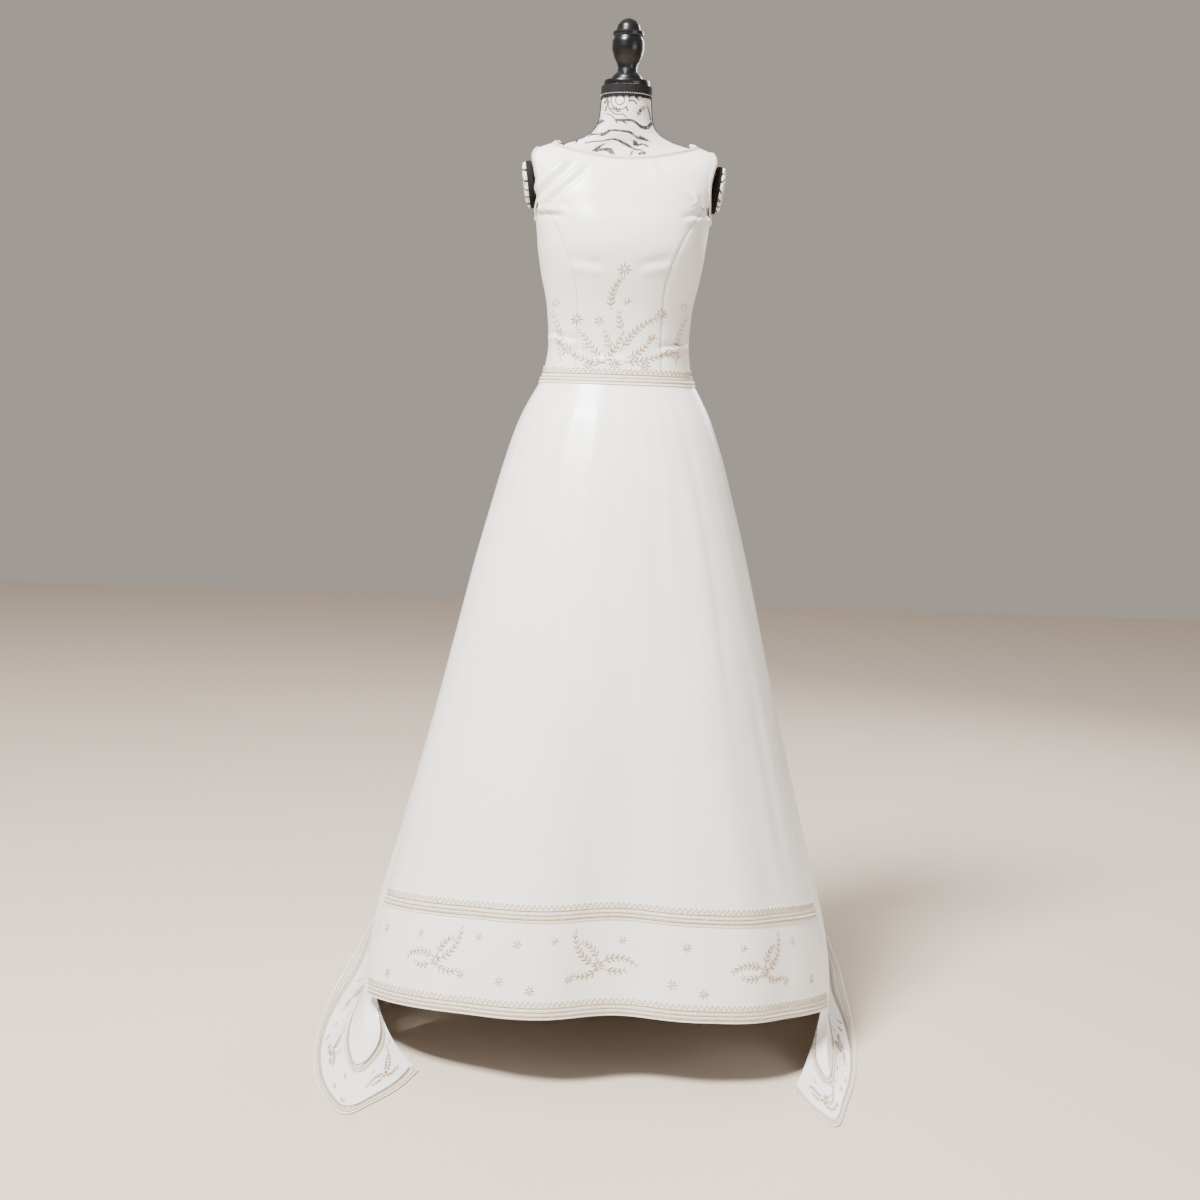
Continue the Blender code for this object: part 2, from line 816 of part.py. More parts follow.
def front_turns():
    edge = SKIRT_SEAM - 0.0018
    return evenly(-edge, edge, 24) + [edge]


def back_turns():
    """Columns of a back panel, close together where the side flute lies."""
    start, end = SKIRT_SEAM + 0.0018, 2.0 - 0.0004
    return evenly(start, 1.22, 17) + evenly(1.22, end, 15) + [end]


SKIRT_SHARES = (0.0, 0.06, 0.13, 0.22, 0.36, 0.58, 0.78, 0.91, 1.0)
SEAM_STEP = SEAM_GAP / 2.0
BRAID_HALF = BRAID_WIDTH / 2.0


def distances(turn, part):
    """Where a panel's rows lie on a skirt line, as distances up from the hem.

    A row lies on each edge of the braids, so that the braids are the panels' points moved out.
    """
    if part == "band":
        middle = (BRAID_WIDTH + HEM_BAND - BRAID_HALF) / 2.0
        return [0.0, BRAID_WIDTH, middle, HEM_BAND - BRAID_HALF, HEM_BAND - SEAM_STEP]
    total = skirt_curve(turn)[1][-1]
    low = HEM_BAND + BRAID_HALF
    return [HEM_BAND + SEAM_STEP] + [low + (total - low) * share for share in SKIRT_SHARES]


def skirt_place(turn, distance):
    """(inner point, normal) of the skirt at a turn and a distance up from the hem."""
    step_turn, step = 0.004, 0.004
    total = skirt_curve(turn)[1][-1]
    middle = min(max(distance, step), total - step)

    def lifted(at, far):
        found = curve_point(at, far)
        return found + Vector((0.0, 0.0, train_wave(at, found)))

    low, high = turn - step_turn, turn + step_turn
    if abs(turn) > SKIRT_SEAM:
        low = turn if abs(low) < SKIRT_SEAM else low
        high = turn if abs(high) < SKIRT_SEAM else high
    else:
        low, high = max(low, -SKIRT_SEAM), min(high, SKIRT_SEAM)
    along = lifted(round(wrap(high), 6), middle) - lifted(round(wrap(low), 6), middle)
    up = lifted(turn, middle + step) - lifted(turn, middle - step)
    return lifted(turn, distance), along.cross(up).normalized()


def wrap(turn):
    return (turn + 2.0) % 4.0 - 2.0


def on_floor(point, least):
    return Vector((point.x, point.y, max(point.z, least)))


def skirt_grid(turns, part):
    """Inner and outer points of a skirt panel, rows from the hem up."""
    inner, outer = [], []
    count = len(distances(turns[0], part))
    for r in range(count):
        inner_row, outer_row = [], []
        for turn in turns:
            place, normal = skirt_place(turn, distances(turn, part)[r])
            out = on_floor(place + normal * SATIN, max(SATIN * normal.z, 0.0))
            inner_row.append(on_floor(out - normal * SATIN, 0.0))
            outer_row.append(out)
        inner.append(inner_row)
        outer.append(outer_row)
    return inner, outer


def lay_braid(name, rows):
    """A braid over (inner, outer) rows of the panels' own points, moved out."""
    away = [[(o - i).normalized() for i, o in zip(*row)] for row in rows]
    outers = [row[1] for row in rows]
    lift = BRAID_LIFT + 0.2 * MM
    under = [[p + n * lift for p, n in zip(r, a)] for r, a in zip(outers, away)]
    over = [[p + n * (lift + BRAID) for p, n in zip(r, a)] for r, a in zip(outers, away)]
    return wall(name, under, over, braid())


def make_skirt_part(name, turns):
    band = skirt_grid(turns, "band")
    skirt = skirt_grid(turns, "skirt")
    wall(f"skirt_{name}", *skirt, satin())
    wall(f"hem_band_{name}", *band, satin())

    def row(grids, r):
        return grids[0][r], grids[1][r]

    lay_braid(f"hem_braid_{name}", [row(band, 0), row(band, 1)])
    lay_braid(f"band_braid_{name}", [row(band, -2), row(band, -1), row(skirt, 1)])


def make_skirt():
    make_skirt_part("front", front_turns())
    make_skirt_part("back_left", back_turns())
    make_skirt_part("back_right", [-turn for turn in back_turns()][::-1])


def make_waist_braid():
    """The belt of braid over the waist seam: its top lies on the bodice, its foot on the skirt."""
    columns = 40
    half = BRAID_WIDTH / 2.0
    rows = []
    for level in (-1, 0, 1):
        row = []
        for k in range(columns):
            turn = -2.0 + 4.0 * k / columns
            if level > 0:
                place = bodice_point(turn, WAIST_MARK + half, SATIN)
                normal = form_normal(turn, WAIST_MARK + half)
            elif level < 0:
                total = skirt_curve(turn)[1][-1]
                place, normal = skirt_place(turn, total - half)
                place = place + normal * SATIN
            else:
                place = bodice_point(turn, WAIST_MARK, SATIN)
                normal = form_normal(turn, WAIST_MARK)
            row.append((place, normal))
        rows.append(row)
    lift = BRAID_LIFT + 0.2 * MM
    under = [[p + n * lift for p, n in row] for row in rows]
    over = [[p + n * (lift + BRAID) for p, n in row] for row in rows]
    return wall("waist_braid", under, over, braid(), closed=True)


# The back opening

def make_placket():
    """A narrow lap down the centre back that carries the buttons."""
    rows = []
    top = station(NECK_BACK) - NECK_BRAID_WIDTH - 0.003
    low = WAIST_MARK + BRAID_WIDTH / 2.0 + 0.003
    marks = [row[0][1] for row in back_places(-1)]
    marks = [low] + [mark for mark in marks if low + 0.002 < mark < top - 0.002] + [top]
    for mark in marks:
        quarter = 0.78 * (form_row(round(mark, 7))[1] + form_row(round(mark, 7))[3])
        half = PLACKET_WIDTH / 2.0 / quarter
        rows.append([(2.0 - half, mark), (2.0, mark), (2.0 + half, mark)])
    bodice_panel("back_placket", rows, SATIN + PLACKET_LIFT, 1.5 * MM)
    return low, top


def turned(name, profile, segments, finish, place):
    """A closed turned solid from (radius, height) rows, bottom to top."""
    points, faces = [], []
    for radius, height in profile:
        for k in range(segments):
            angle = 2.0 * math.pi * k / segments
            points.append((radius * math.cos(angle), radius * math.sin(angle), height))
    rows = len(profile)
    for r in range(rows - 1):
        for k in range(segments):
            after = (k + 1) % segments
            faces.append(
                (
                    r * segments + k,
                    r * segments + after,
                    (r + 1) * segments + after,
                    (r + 1) * segments + k,
                )
            )
    faces.append(tuple(range(segments))[::-1])
    faces.append(tuple((rows - 1) * segments + k for k in range(segments)))
    return add_mesh(name, points, faces, finish, place)


BUTTON_PROFILE_COLUMNS = ("share of radius", "share of height")
BUTTON_PROFILE = ((0.62, 0.0), (1.0, 0.35), (0.86, 0.75), (0.45, 1.0))


def make_buttons(low, top):
    for k in range(BUTTONS):
        mark = low + 0.012 + (top - low - 0.024) * k / (BUTTONS - 1)
        normal = form_normal(2.0, mark)
        lift = SATIN + PLACKET_LIFT + 1.5 * MM + SEAM_GAP
        place = bodice_point(2.0, mark, lift)
        profile = [(r * BUTTON_RADIUS, h * BUTTON_HEIGHT) for r, h in BUTTON_PROFILE]
        thing = turned(f"button_{k + 1}", profile, 8, satin(), place)
        thing.rotation_euler = Vector((0.0, 0.0, 1.0)).rotation_difference(normal).to_euler()


# The dress form

FORM_QUARTER = 8
SKIN_INSET = 1.8 * MM


def make_form_torso():
    marks = evenly(FORM_MARKS[0], station(1.47), 9)
    marks += evenly(station(1.47), station(1.60), 17)
    marks += [station(1.60), station(1.63), FORM_MARKS[-1]]
    turns = [k / FORM_QUARTER for k in range(-2 * FORM_QUARTER, 2 * FORM_QUARTER)]
    points, faces = [], []
    for mark in marks:
        points += [form_point(turn, mark) - form_normal(turn, mark) * SKIN_INSET for turn in turns]
    across = len(turns)
    for r in range(len(marks) - 1):
        for c in range(across):
            after = (c + 1) % across
            faces.append(
                (r * across + c, r * across + after, (r + 1) * across + after, (r + 1) * across + c)
            )
    faces.append(tuple(range(across))[::-1])
    last = (len(marks) - 1) * across
    faces.append(tuple(last + c for c in range(across)))
    return add_mesh("form_torso", points, faces, linen())


def make_neck_ribbon():
    """The black lace that edges the top of the form's neck."""
    rows = []
    for mark in (station(1.643), FORM_MARKS[-1] - 0.0005):
        rows.append([(k / FORM_QUARTER, mark) for k in range(-2 * FORM_QUARTER, 2 * FORM_QUARTER)])

    def ring(lift):
        return [
            [form_point(t, m) + Vector(form_point(t, m).xy).to_3d().normalized() * lift for t, m in row]
            for row in rows
        ]

    wall("form_neck_ribbon", ring(-1.3 * MM), ring(0.2 * MM), ribbon(), closed=True)


ARM_PLATE_COLUMNS = ("share of outline", "height")
ARM_RING = ((1.0, 0.0), (1.05, 0.003), (1.04, 0.0095), (0.97, 0.0110))
ARM_DISC = ((0.95, 0.0113), (0.96, 0.0150), (0.80, 0.0180), (0.45, 0.0195), (0.12, 0.0198))


def oval(name, profile, side, finish, segments=18):
    """A solid oval plate that faces sideways out of the armhole."""
    points, faces = [], []
    middle = station(ARM_PLATE_CENTRE)
    seat = form_point(1.0, middle).x - 0.0010
    centre = form_point(armhole_middle(middle), middle).y
    lean = ARM_PLATE_LEAN
    for share, height in profile:
        for k in range(segments):
            angle = 2.0 * math.pi * k / segments
            deep = share * ARM_PLATE_HALF_DEPTH * math.cos(angle)
            high = share * ARM_PLATE_HALF_HEIGHT * math.sin(angle)
            out = seat + height * math.cos(lean) - high * math.sin(lean)
            up = ARM_PLATE_CENTRE + height * math.sin(lean) + high * math.cos(lean)
            points.append((side * out, centre + deep, up))
    rows = len(profile)
    for r in range(rows - 1):
        for k in range(segments):
            after = (k + 1) % segments
            face = (
                r * segments + k,
                r * segments + after,
                (r + 1) * segments + after,
                (r + 1) * segments + k,
            )
            faces.append(face if side > 0 else face[::-1])
    bottom = tuple(range(segments))[::-1]
    top = tuple((rows - 1) * segments + k for k in range(segments))
    faces += [bottom, top] if side > 0 else [bottom[::-1], top[::-1]]
    return add_mesh(name, points, faces, finish)


def make_arm_plates():
    for side, name in ((1, "left"), (-1, "right")):
        oval(f"form_arm_ring_{name}", ARM_RING, side, ribbon())
        oval(f"form_arm_plate_{name}", ARM_DISC, side, linen())


LEG_COLUMNS = ("reach share", "height")
LEG = ((0.0, 0.115), (0.22, 0.100), (0.48, 0.060), (0.70, 0.026), (0.85, 0.011), (1.0, 0.009))


def make_leg(name, heading):
    """A bowed leg with a flat foot, its root against the hub."""
    points, faces = [], []
    start = HUB_RADIUS + SEAM_GAP
    for k, (share, height) in enumerate(LEG):
        before = LEG[max(k - 1, 0)]
        after = LEG[min(k + 1, len(LEG) - 1)]
        run = (after[0] - before[0]) * (LEG_REACH - start)
        slope = Vector((run, 0.0, after[1] - before[1])).normalized()
        upright = Vector((-slope.z, 0.0, slope.x)) if 0 < k < len(LEG) - 1 else Vector((0, 0, 1))
        half = LEG_THICKNESS / 2.0 * (1.0 - 0.35 * share)
        if k >= len(LEG) - 2:
            half, upright = height, Vector((0.0, 0.0, 1.0))
        middle = Vector((start + share * (LEG_REACH - start), 0.0, height))
        wide = LEG_WIDTH / 2.0 * (1.0 - 0.25 * share)
        for across, high in ((-1, -1), (1, -1), (1, 1), (-1, 1)):
            points.append(middle + Vector((0.0, across * wide, 0.0)) + upright * high * half)
    for k in range(len(LEG) - 1):
        for c in range(4):
            after = (c + 1) % 4
            faces.append((k * 4 + c, k * 4 + after, k * 4 + 4 + after, k * 4 + 4 + c))
    last = (len(LEG) - 1) * 4
    faces.append((3, 2, 1, 0))
    faces.append((last, last + 1, last + 2, last + 3))
    thing = add_mesh(name, points, faces, lacquer())
    thing.rotation_euler = (0.0, 0.0, heading)


HUB_RADIUS = 0.030
POLE_TOP = FORM[0][0] - SEAM_GAP
HUB_LOW, HUB_HIGH = 0.0, 0.150


def make_stand():
    hub = (
        (HUB_RADIUS * 0.6, HUB_LOW),
        (HUB_RADIUS, HUB_LOW + 0.004),
        (HUB_RADIUS, HUB_HIGH - 0.006),
        (HUB_RADIUS * 0.72, HUB_HIGH),
    )
    turned("form_stand_hub", hub, 16, lacquer(), (0.0, 0.0, 0.0))
    pole = (
        (POLE_RADIUS, HUB_HIGH + SEAM_GAP),
        (POLE_RADIUS, POLE_TOP - 0.020 - SEAM_GAP),
    )
    turned("form_pole", pole, 16, steel(), (0.0, 0.0, 0.0))
    plate = ((0.045, POLE_TOP - 0.020), (0.050, POLE_TOP - 0.016), (0.050, POLE_TOP))
    turned("form_pole_plate", plate, 16, steel(), (0.0, 0.0, 0.0))
    for k, degrees in enumerate(LEG_HEADINGS):
        make_leg(f"form_leg_{k + 1}", math.radians(degrees))


def make_finial():
    top = FORM[-1][0]
    turned("form_finial", FINIAL, 16, lacquer(), (0.0, 0.0, top))


def main():
    clear_scene()
    make_neck_braid(*make_bodice())
    make_armhole_braid(1, "left")
    make_armhole_braid(-1, "right")
    make_skirt()
    make_waist_braid()
    low, top = make_placket()
    make_buttons(low, top)
    make_form_torso()
    make_neck_ribbon()
    make_arm_plates()
    make_finial()
    make_stand()


main()
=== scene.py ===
# %% [markdown]
# The object is a wedding dress on a dress form. The dress is heavy ivory satin: a sleeveless
# bodice with princess seams, a smooth A-line skirt with a deep embroidered hem band, beaded
# braids, and a train whose corners swing forward on the floor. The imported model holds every
# piece as a plain wall. This script makes the fine cloth over it, and the sewing and beads.

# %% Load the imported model
import math
from functools import lru_cache

import bpy
from mathutils import Matrix, Vector, noise


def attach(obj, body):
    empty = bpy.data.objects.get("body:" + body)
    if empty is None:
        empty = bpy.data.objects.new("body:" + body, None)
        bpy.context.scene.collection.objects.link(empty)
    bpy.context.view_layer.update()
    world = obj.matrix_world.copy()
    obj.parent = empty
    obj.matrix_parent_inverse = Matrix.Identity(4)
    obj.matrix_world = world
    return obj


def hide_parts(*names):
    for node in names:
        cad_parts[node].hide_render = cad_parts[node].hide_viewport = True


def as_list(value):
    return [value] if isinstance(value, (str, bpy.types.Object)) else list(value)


MM = 0.001
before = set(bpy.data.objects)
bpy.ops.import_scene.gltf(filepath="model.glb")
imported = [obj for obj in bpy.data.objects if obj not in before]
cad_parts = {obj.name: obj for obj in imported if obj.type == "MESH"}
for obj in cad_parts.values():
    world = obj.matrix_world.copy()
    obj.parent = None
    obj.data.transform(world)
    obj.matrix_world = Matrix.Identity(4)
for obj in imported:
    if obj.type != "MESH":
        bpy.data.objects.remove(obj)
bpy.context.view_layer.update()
print("nodes loaded:", len(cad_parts))

# %% [markdown]
# The photograph looks at the front from chest height, a little downwards, and leans by two
# degrees. Part of the downward look is a shift of the lens, which keeps upright lines nearly
# parallel.

# %% Camera
EYE_HEIGHT = 1.105
EYE_DISTANCE = 3.330
EYE_ACROSS = -0.0093
LOOK_DOWN = math.radians(3.494)
LEAN = math.radians(1.863)

sight = bpy.data.cameras.new("sight")
sight.lens = 55.66
sight.sensor_width = 36.0
sight.shift_x = -0.0064
sight.shift_y = -0.070
camera = bpy.data.objects.new("camera", sight)
camera.matrix_world = (
    Matrix.Translation((EYE_ACROSS, -EYE_DISTANCE, EYE_HEIGHT))
    @ Matrix.Rotation(math.radians(90.0) - LOOK_DOWN, 4, "X")
    @ Matrix.Rotation(LEAN, 4, "Z")
)
bpy.context.scene.collection.objects.link(camera)
bpy.context.scene.camera = camera
print("camera at", tuple(round(c, 3) for c in camera.location))

# %% [markdown]
# Satin shows its folds by broad soft highlights, so the lamps are large: one high at the left
# as a window would be, one weaker at the right, and a low one behind that parts the white
# dress from the pale floor.

# %% Floor and lamps
def deselect():
    for thing in list(bpy.context.selected_objects):
        thing.select_set(False)


def plain_finish(name, colour, roughness, metallic=0.0):
    made = bpy.data.materials.new(name)
    made.use_nodes = True
    shader = made.node_tree.nodes["Principled BSDF"]
    shader.inputs["Base Color"].default_value = (*colour, 1.0)
    shader.inputs["Roughness"].default_value = roughness
    shader.inputs["Metallic"].default_value = metallic
    return made


def lamp(name, place, aim, width, watts, colour=(1.0, 1.0, 1.0)):
    light = bpy.data.lights.new(name, "AREA")
    light.size = width
    light.energy = watts
    light.color = colour
    holder = bpy.data.objects.new(name, light)
    holder.location = place
    holder.rotation_euler = (Vector(aim) - Vector(place)).to_track_quat("-Z", "Y").to_euler()
    bpy.context.scene.collection.objects.link(holder)


deselect()
bpy.ops.mesh.primitive_plane_add(size=14.0, location=(0.0, 0.0, -0.0004))
floor = bpy.context.object
floor.name = "studio_floor"
floor.data.materials.append(plain_finish("floor_paint", (0.62, 0.52, 0.43), 0.92))

world = bpy.data.worlds.new("studio")
world.use_nodes = True
world.node_tree.nodes["Background"].inputs["Color"].default_value = (0.98, 0.87, 0.78, 1.0)
world.node_tree.nodes["Background"].inputs["Strength"].default_value = 0.42
bpy.context.scene.world = world
lamp("window", (-1.7, -2.3, 4.7), (0.0, 0.0, 0.9), 1.2, 900.0, (1.0, 0.985, 0.97))
lamp("fill", (2.6, -2.4, 1.6), (0.0, 0.0, 0.8), 1.8, 38.0)
lamp("rim", (1.6, 2.8, 2.4), (0.0, 0.0, 1.0), 1.6, 80.0)
print("stage set")

# %% [markdown]
# A dress is drawn as lines over a body. The form is a stack of rounded rings, and a place on
# it is a turn and a mark. Turns count quarters round the body: 0 is the centre front, 1 and
# -1 are the sides, 2 is the centre back. Marks run up the side line. A cloth is then a grid
# of places, moved out by its ease.

# %% Named sizes
WAIST_SEAM = 1.150
NECK_POINT = 1.561
NECK_FRONT = 1.533
NECK_BACK = 1.545
SHOULDER_TIP = 1.545
UNDERARM = 1.430
PRINCESS_TOP = 1.452
FRONT_HEM = 0.118
SIDE_HEM = 0.085
SATIN = 1.5 * MM
RIBBON = 0.9 * MM
SEAM_GAP = 0.3 * MM
EASE = 4.0 * MM
SHOULDER_EASE = 3.4 * MM
SKIN_INSET = 1.8 * MM
QUARTER_SHARE = 0.78
HEM_BAND = 0.165
BRAID_WIDTH = 0.026
NECK_BRAID_WIDTH = 0.008
ARMHOLE_BRAID_WIDTH = 0.006
SIDE_TURN = 0.95
SKIRT_SEAM = 0.82
ARMHOLE_HALF_TURN = 0.22

# %% The form's rings
# Columns: height, half_width, front, back, square, centre
FORM = (
    (0.860, 0.150, 0.108, 0.122, 2.2, 0.0),
    (0.900, 0.160, 0.112, 0.132, 2.2, 0.0),
    (0.960, 0.164, 0.112, 0.134, 2.2, 0.0),
    (1.040, 0.150, 0.104, 0.118, 2.2, 0.0),
    (1.100, 0.134, 0.095, 0.099, 2.2, 0.0),
    (1.150, 0.127, 0.090, 0.089, 2.2, 0.0),
    (1.205, 0.120, 0.087, 0.084, 2.2, 0.0),
    (1.270, 0.124, 0.096, 0.086, 2.3, 0.0),
    (1.330, 0.136, 0.113, 0.088, 2.4, 0.0),
    (1.372, 0.143, 0.121, 0.089, 2.5, 0.0),
    (1.410, 0.147, 0.117, 0.091, 2.6, 0.0),
    (1.445, 0.152, 0.105, 0.092, 2.8, 0.0),
    (1.480, 0.158, 0.091, 0.089, 3.0, 0.0),
    (1.515, 0.163, 0.073, 0.080, 3.0, 0.0),
    (1.533, 0.1645, 0.058, 0.068, 2.8, 0.0),
    (1.544, 0.157, 0.049, 0.058, 2.5, 0.0),
    (1.553, 0.138, 0.043, 0.053, 2.3, 0.0),
    (1.561, 0.113, 0.041, 0.050, 2.1, 0.0),
    (1.569, 0.086, 0.043, 0.050, 2.0, 0.0),
    (1.582, 0.062, 0.045, 0.050, 2.0, 0.0),
    (1.600, 0.050, 0.046, 0.049, 2.0, 0.0),
    (1.630, 0.046, 0.046, 0.047, 2.0, 0.0),
    (1.664, 0.045, 0.045, 0.045, 2.0, 0.0),
)


def smooth_table(rows, marks, mark):
    """A row between the table's rows, on a smooth curve through them. marks rise."""
    last = len(marks) - 1
    mark = min(max(mark, marks[0]), marks[-1])
    i = 0
    while i < last - 1 and marks[i + 1] < mark:
        i += 1
    width = marks[i + 1] - marks[i]
    t = (mark - marks[i]) / width
    found = []
    for column in range(len(rows[0])):
        def slope(k):
            low, high = max(k - 1, 0), min(k + 1, last)
            return (rows[high][column] - rows[low][column]) / (marks[high] - marks[low])
        start, end = rows[i][column], rows[i + 1][column]
        found.append(
            (2 * t**3 - 3 * t**2 + 1) * start
            + (t**3 - 2 * t**2 + t) * width * slope(i)
            + (3 * t**2 - 2 * t**3) * end
            + (t**3 - t**2) * width * slope(i + 1)
        )
    return found


def bump(distance, spread):
    """1 in the middle, falling smoothly to 0 at the spread."""
    share = min(abs(distance) / spread, 1.0)
    return (1.0 + math.cos(math.pi * share)) / 2.0


def turn_distance(a, b):
    """The shorter way round between two turns, out of four."""
    gap = abs(a - b) % 4.0
    return min(gap, 4.0 - gap)


def smooth_step(share):
    share = min(max(share, 0.0), 1.0)
    return share * share * (3.0 - 2.0 * share)


QUARTER_STEPS = 40


@lru_cache(maxsize=None)
def quarter_arc(half_width, depth, square):
    """(across, deep) points of a rounded quarter, and how far along it each one is."""
    points = []
    for k in range(QUARTER_STEPS + 1):
        angle = math.pi / 2.0 * k / QUARTER_STEPS
        across, deep = math.sin(angle) / half_width, math.cos(angle) / depth
        reach = (across**square + abs(deep) ** square) ** (-1.0 / square)
        points.append((reach * math.sin(angle), reach * math.cos(angle)))
    lengths = [0.0]
    for (x0, y0), (x1, y1) in zip(points, points[1:]):
        lengths.append(lengths[-1] + math.hypot(x1 - x0, y1 - y0))
    return points, [length / lengths[-1] for length in lengths]


def on_ring(row, turn):
    """The point of a ring at a turn, spaced evenly along each quarter of the ring."""
    height, half_width, front, back, square, centre = row
    turn = (turn + 2.0) % 4.0 - 2.0
    side = -1.0 if turn < 0 else 1.0
    quarter = abs(turn)
    facing = -1.0 if quarter <= 1.0 else 1.0
    share = quarter if quarter <= 1.0 else 2.0 - quarter
    depth = front if facing < 0 else back
    points, lengths = quarter_arc(round(half_width, 6), round(depth, 6), round(square, 5))
    i = min(int(share * QUARTER_STEPS), QUARTER_STEPS - 1)
    while lengths[i] > share and i > 0:
        i -= 1
    while lengths[i + 1] < share and i < QUARTER_STEPS - 1:
        i += 1
    t = (share - lengths[i]) / (lengths[i + 1] - lengths[i])
    across = points[i][0] + t * (points[i + 1][0] - points[i][0])
    deep = points[i][1] + t * (points[i + 1][1] - points[i][1])
    return Vector((side * across, centre + facing * deep, height))


def form_marks():
    marks = [0.0]
    for low, high in zip(FORM, FORM[1:]):
        marks.append(marks[-1] + math.hypot(high[0] - low[0], high[1] - low[1]))
    return marks


FORM_MARKS = form_marks()


@lru_cache(maxsize=None)
def station(height):
    """How far up the form's side line a height is."""
    low, high = FORM_MARKS[0], FORM_MARKS[-1]
    for _ in range(50):
        middle = (low + high) / 2.0
        if smooth_table(FORM, FORM_MARKS, middle)[0] < height:
            low = middle
        else:
            high = middle
    return (low + high) / 2.0


@lru_cache(maxsize=None)
def form_row(mark):
    return tuple(smooth_table(FORM, FORM_MARKS, mark))


def form_point(turn, mark):
    return on_ring(form_row(round(mark, 7)), turn)


def form_normal(turn, mark):
    step = 0.004
    along = form_point(turn + step, mark) - form_point(turn - step, mark)
    up = form_point(turn, mark + step) - form_point(turn, mark - step)
    return along.cross(up).normalized()


def ease(mark):
    """The room between the form and the cloth: least on the shoulders, which carry it."""
    share = smooth_step((mark - station(1.47)) / (station(1.535) - station(1.47)))
    return EASE + (SHOULDER_EASE - EASE) * share


def bodice_point(turn, mark, lift):
    """A point over the form: lift 0 is the cloth's inner face."""
    return form_point(turn, mark) + form_normal(turn, mark) * (ease(mark) + lift)

print("form marks up to", round(FORM_MARKS[-1], 3))

# %% [markdown]
# The bodice is cut in five panels: a centre front, two side fronts and two backs. A princess
# seam runs from each armhole over the bust to the waist, and takes in the cloth that a dart
# would. Each panel is a grid from the waist up to the neckline or the armhole.

# %% The bodice's seams
# Columns: height, across
PRINCESS = (
    (1.150, 0.075),
    (1.210, 0.072),
    (1.285, 0.073),
    (1.330, 0.080),
    (1.380, 0.099),
    (1.417, 0.118),
    (1.452, 0.143),
)


def gap_turn(mark):
    """Half a seam gap, in turns."""
    quarter = form_row(round(mark, 7))
    return SEAM_GAP / 2.0 / (QUARTER_SHARE * (quarter[1] + quarter[2]))


WAIST_MARK = station(WAIST_SEAM)
TIP_MARK = station(SHOULDER_TIP)
UNDERARM_MARK = station(UNDERARM)
PRINCESS_MARK = station(PRINCESS_TOP)
NECK_POINT_MARK = station(NECK_POINT)


def turn_at_across(across, mark):
    """The turn on the front where the form's skin is so far from the middle."""
    low, high = 0.0, 1.0
    for _ in range(30):
        middle = (low + high) / 2.0
        if form_point(middle, mark).x < across:
            low = middle
        else:
            high = middle
    return (low + high) / 2.0


@lru_cache(maxsize=None)
def princess_turn(mark):
    height = min(form_row(round(mark, 7))[0], PRINCESS_TOP)
    across = smooth_table(PRINCESS, [row[0] for row in PRINCESS], height)[1]
    return turn_at_across(across, mark)


def armhole_width(mark):
    """Half the armhole's opening in turns at a mark, 0 at the underarm and the shoulder."""
    share = (mark - UNDERARM_MARK) / (TIP_MARK - UNDERARM_MARK)
    if share <= 0.0 or share >= 1.0:
        return 0.0
    return ARMHOLE_HALF_TURN * math.sin(math.pi * share) ** 0.6


def armhole_middle(mark):
    """The turn of the side seam, which meets the shoulder seam at 1."""
    share = smooth_step((mark - UNDERARM_MARK) / (TIP_MARK - UNDERARM_MARK))
    return SIDE_TURN + (1.0 - SIDE_TURN) * share


def armhole_front(mark):
    return armhole_middle(mark) - armhole_width(mark)


def armhole_back(mark):
    return armhole_middle(mark) + armhole_width(mark)


def find_princess_meeting():
    """The mark where the princess seam runs into the armhole."""
    low, high = UNDERARM_MARK, PRINCESS_MARK
    for _ in range(30):
        middle = (low + high) / 2.0
        if princess_turn(middle) < armhole_front(middle):
            low = middle
        else:
            high = middle
    return (low + high) / 2.0


MEETING_MARK = find_princess_meeting()


def front_edge(mark):
    """The outer edge of the centre front panel: princess seam, armhole, shoulder seam."""
    if mark < MEETING_MARK + 1e-6:
        return princess_turn(mark) - gap_turn(mark)
    if mark < TIP_MARK:
        return armhole_front(mark)
    return 1.0 - gap_turn(mark)


def back_edge(mark):
    """The outer edge of a back panel: side seam, armhole, shoulder seam."""
    if mark < UNDERARM_MARK + 1e-6:
        return SIDE_TURN + gap_turn(mark)
    if mark < TIP_MARK:
        return armhole_back(mark)
    return 1.0 + gap_turn(mark)


def neckline(share, lowest):
    """The neckline's mark, share 0 at the middle and 1 at the shoulder seam."""
    low = station(lowest)
    return low + (NECK_POINT_MARK - low) * abs(share) ** 2.2


BASE_MARK = WAIST_MARK + SEAM_GAP / 2.0


def front_place(across, share):
    """A place on the centre front panel: across from -1 to 1, share 0 at the waist."""
    mark = BASE_MARK + share * (neckline(across, NECK_FRONT) - BASE_MARK)
    return across * front_edge(mark), mark


def side_front_place(across, share):
    """A place on the left side front panel: across 0 at the princess seam, 1 at the side."""
    top = UNDERARM_MARK + (MEETING_MARK - UNDERARM_MARK) * (1.0 - across) ** 1.6 - 0.4 * MM
    mark = BASE_MARK + share * (top - BASE_MARK)
    inner = princess_turn(mark) + gap_turn(mark)
    return inner + (SIDE_TURN - gap_turn(mark) - inner) * across, mark


def back_place(across, share):
    """A place on the left back panel: across 0 at the side, 1 at the centre back."""
    mark = BASE_MARK + share * (neckline(1.0 - across, NECK_BACK) - BASE_MARK)
    edge, middle = back_edge(mark), 2.0 - gap_turn(mark)
    return edge + (middle - edge) * across, mark


print("princess seam meets the armhole at mark", round(MEETING_MARK, 3))

# %% [markdown]
# The skirt hangs from the waist as wide rings that swell into a few flutes. The front panel
# ends above the floor. The back panels fall first and then swing out: their side edges run
# forward under the front and their centre runs back as the train.

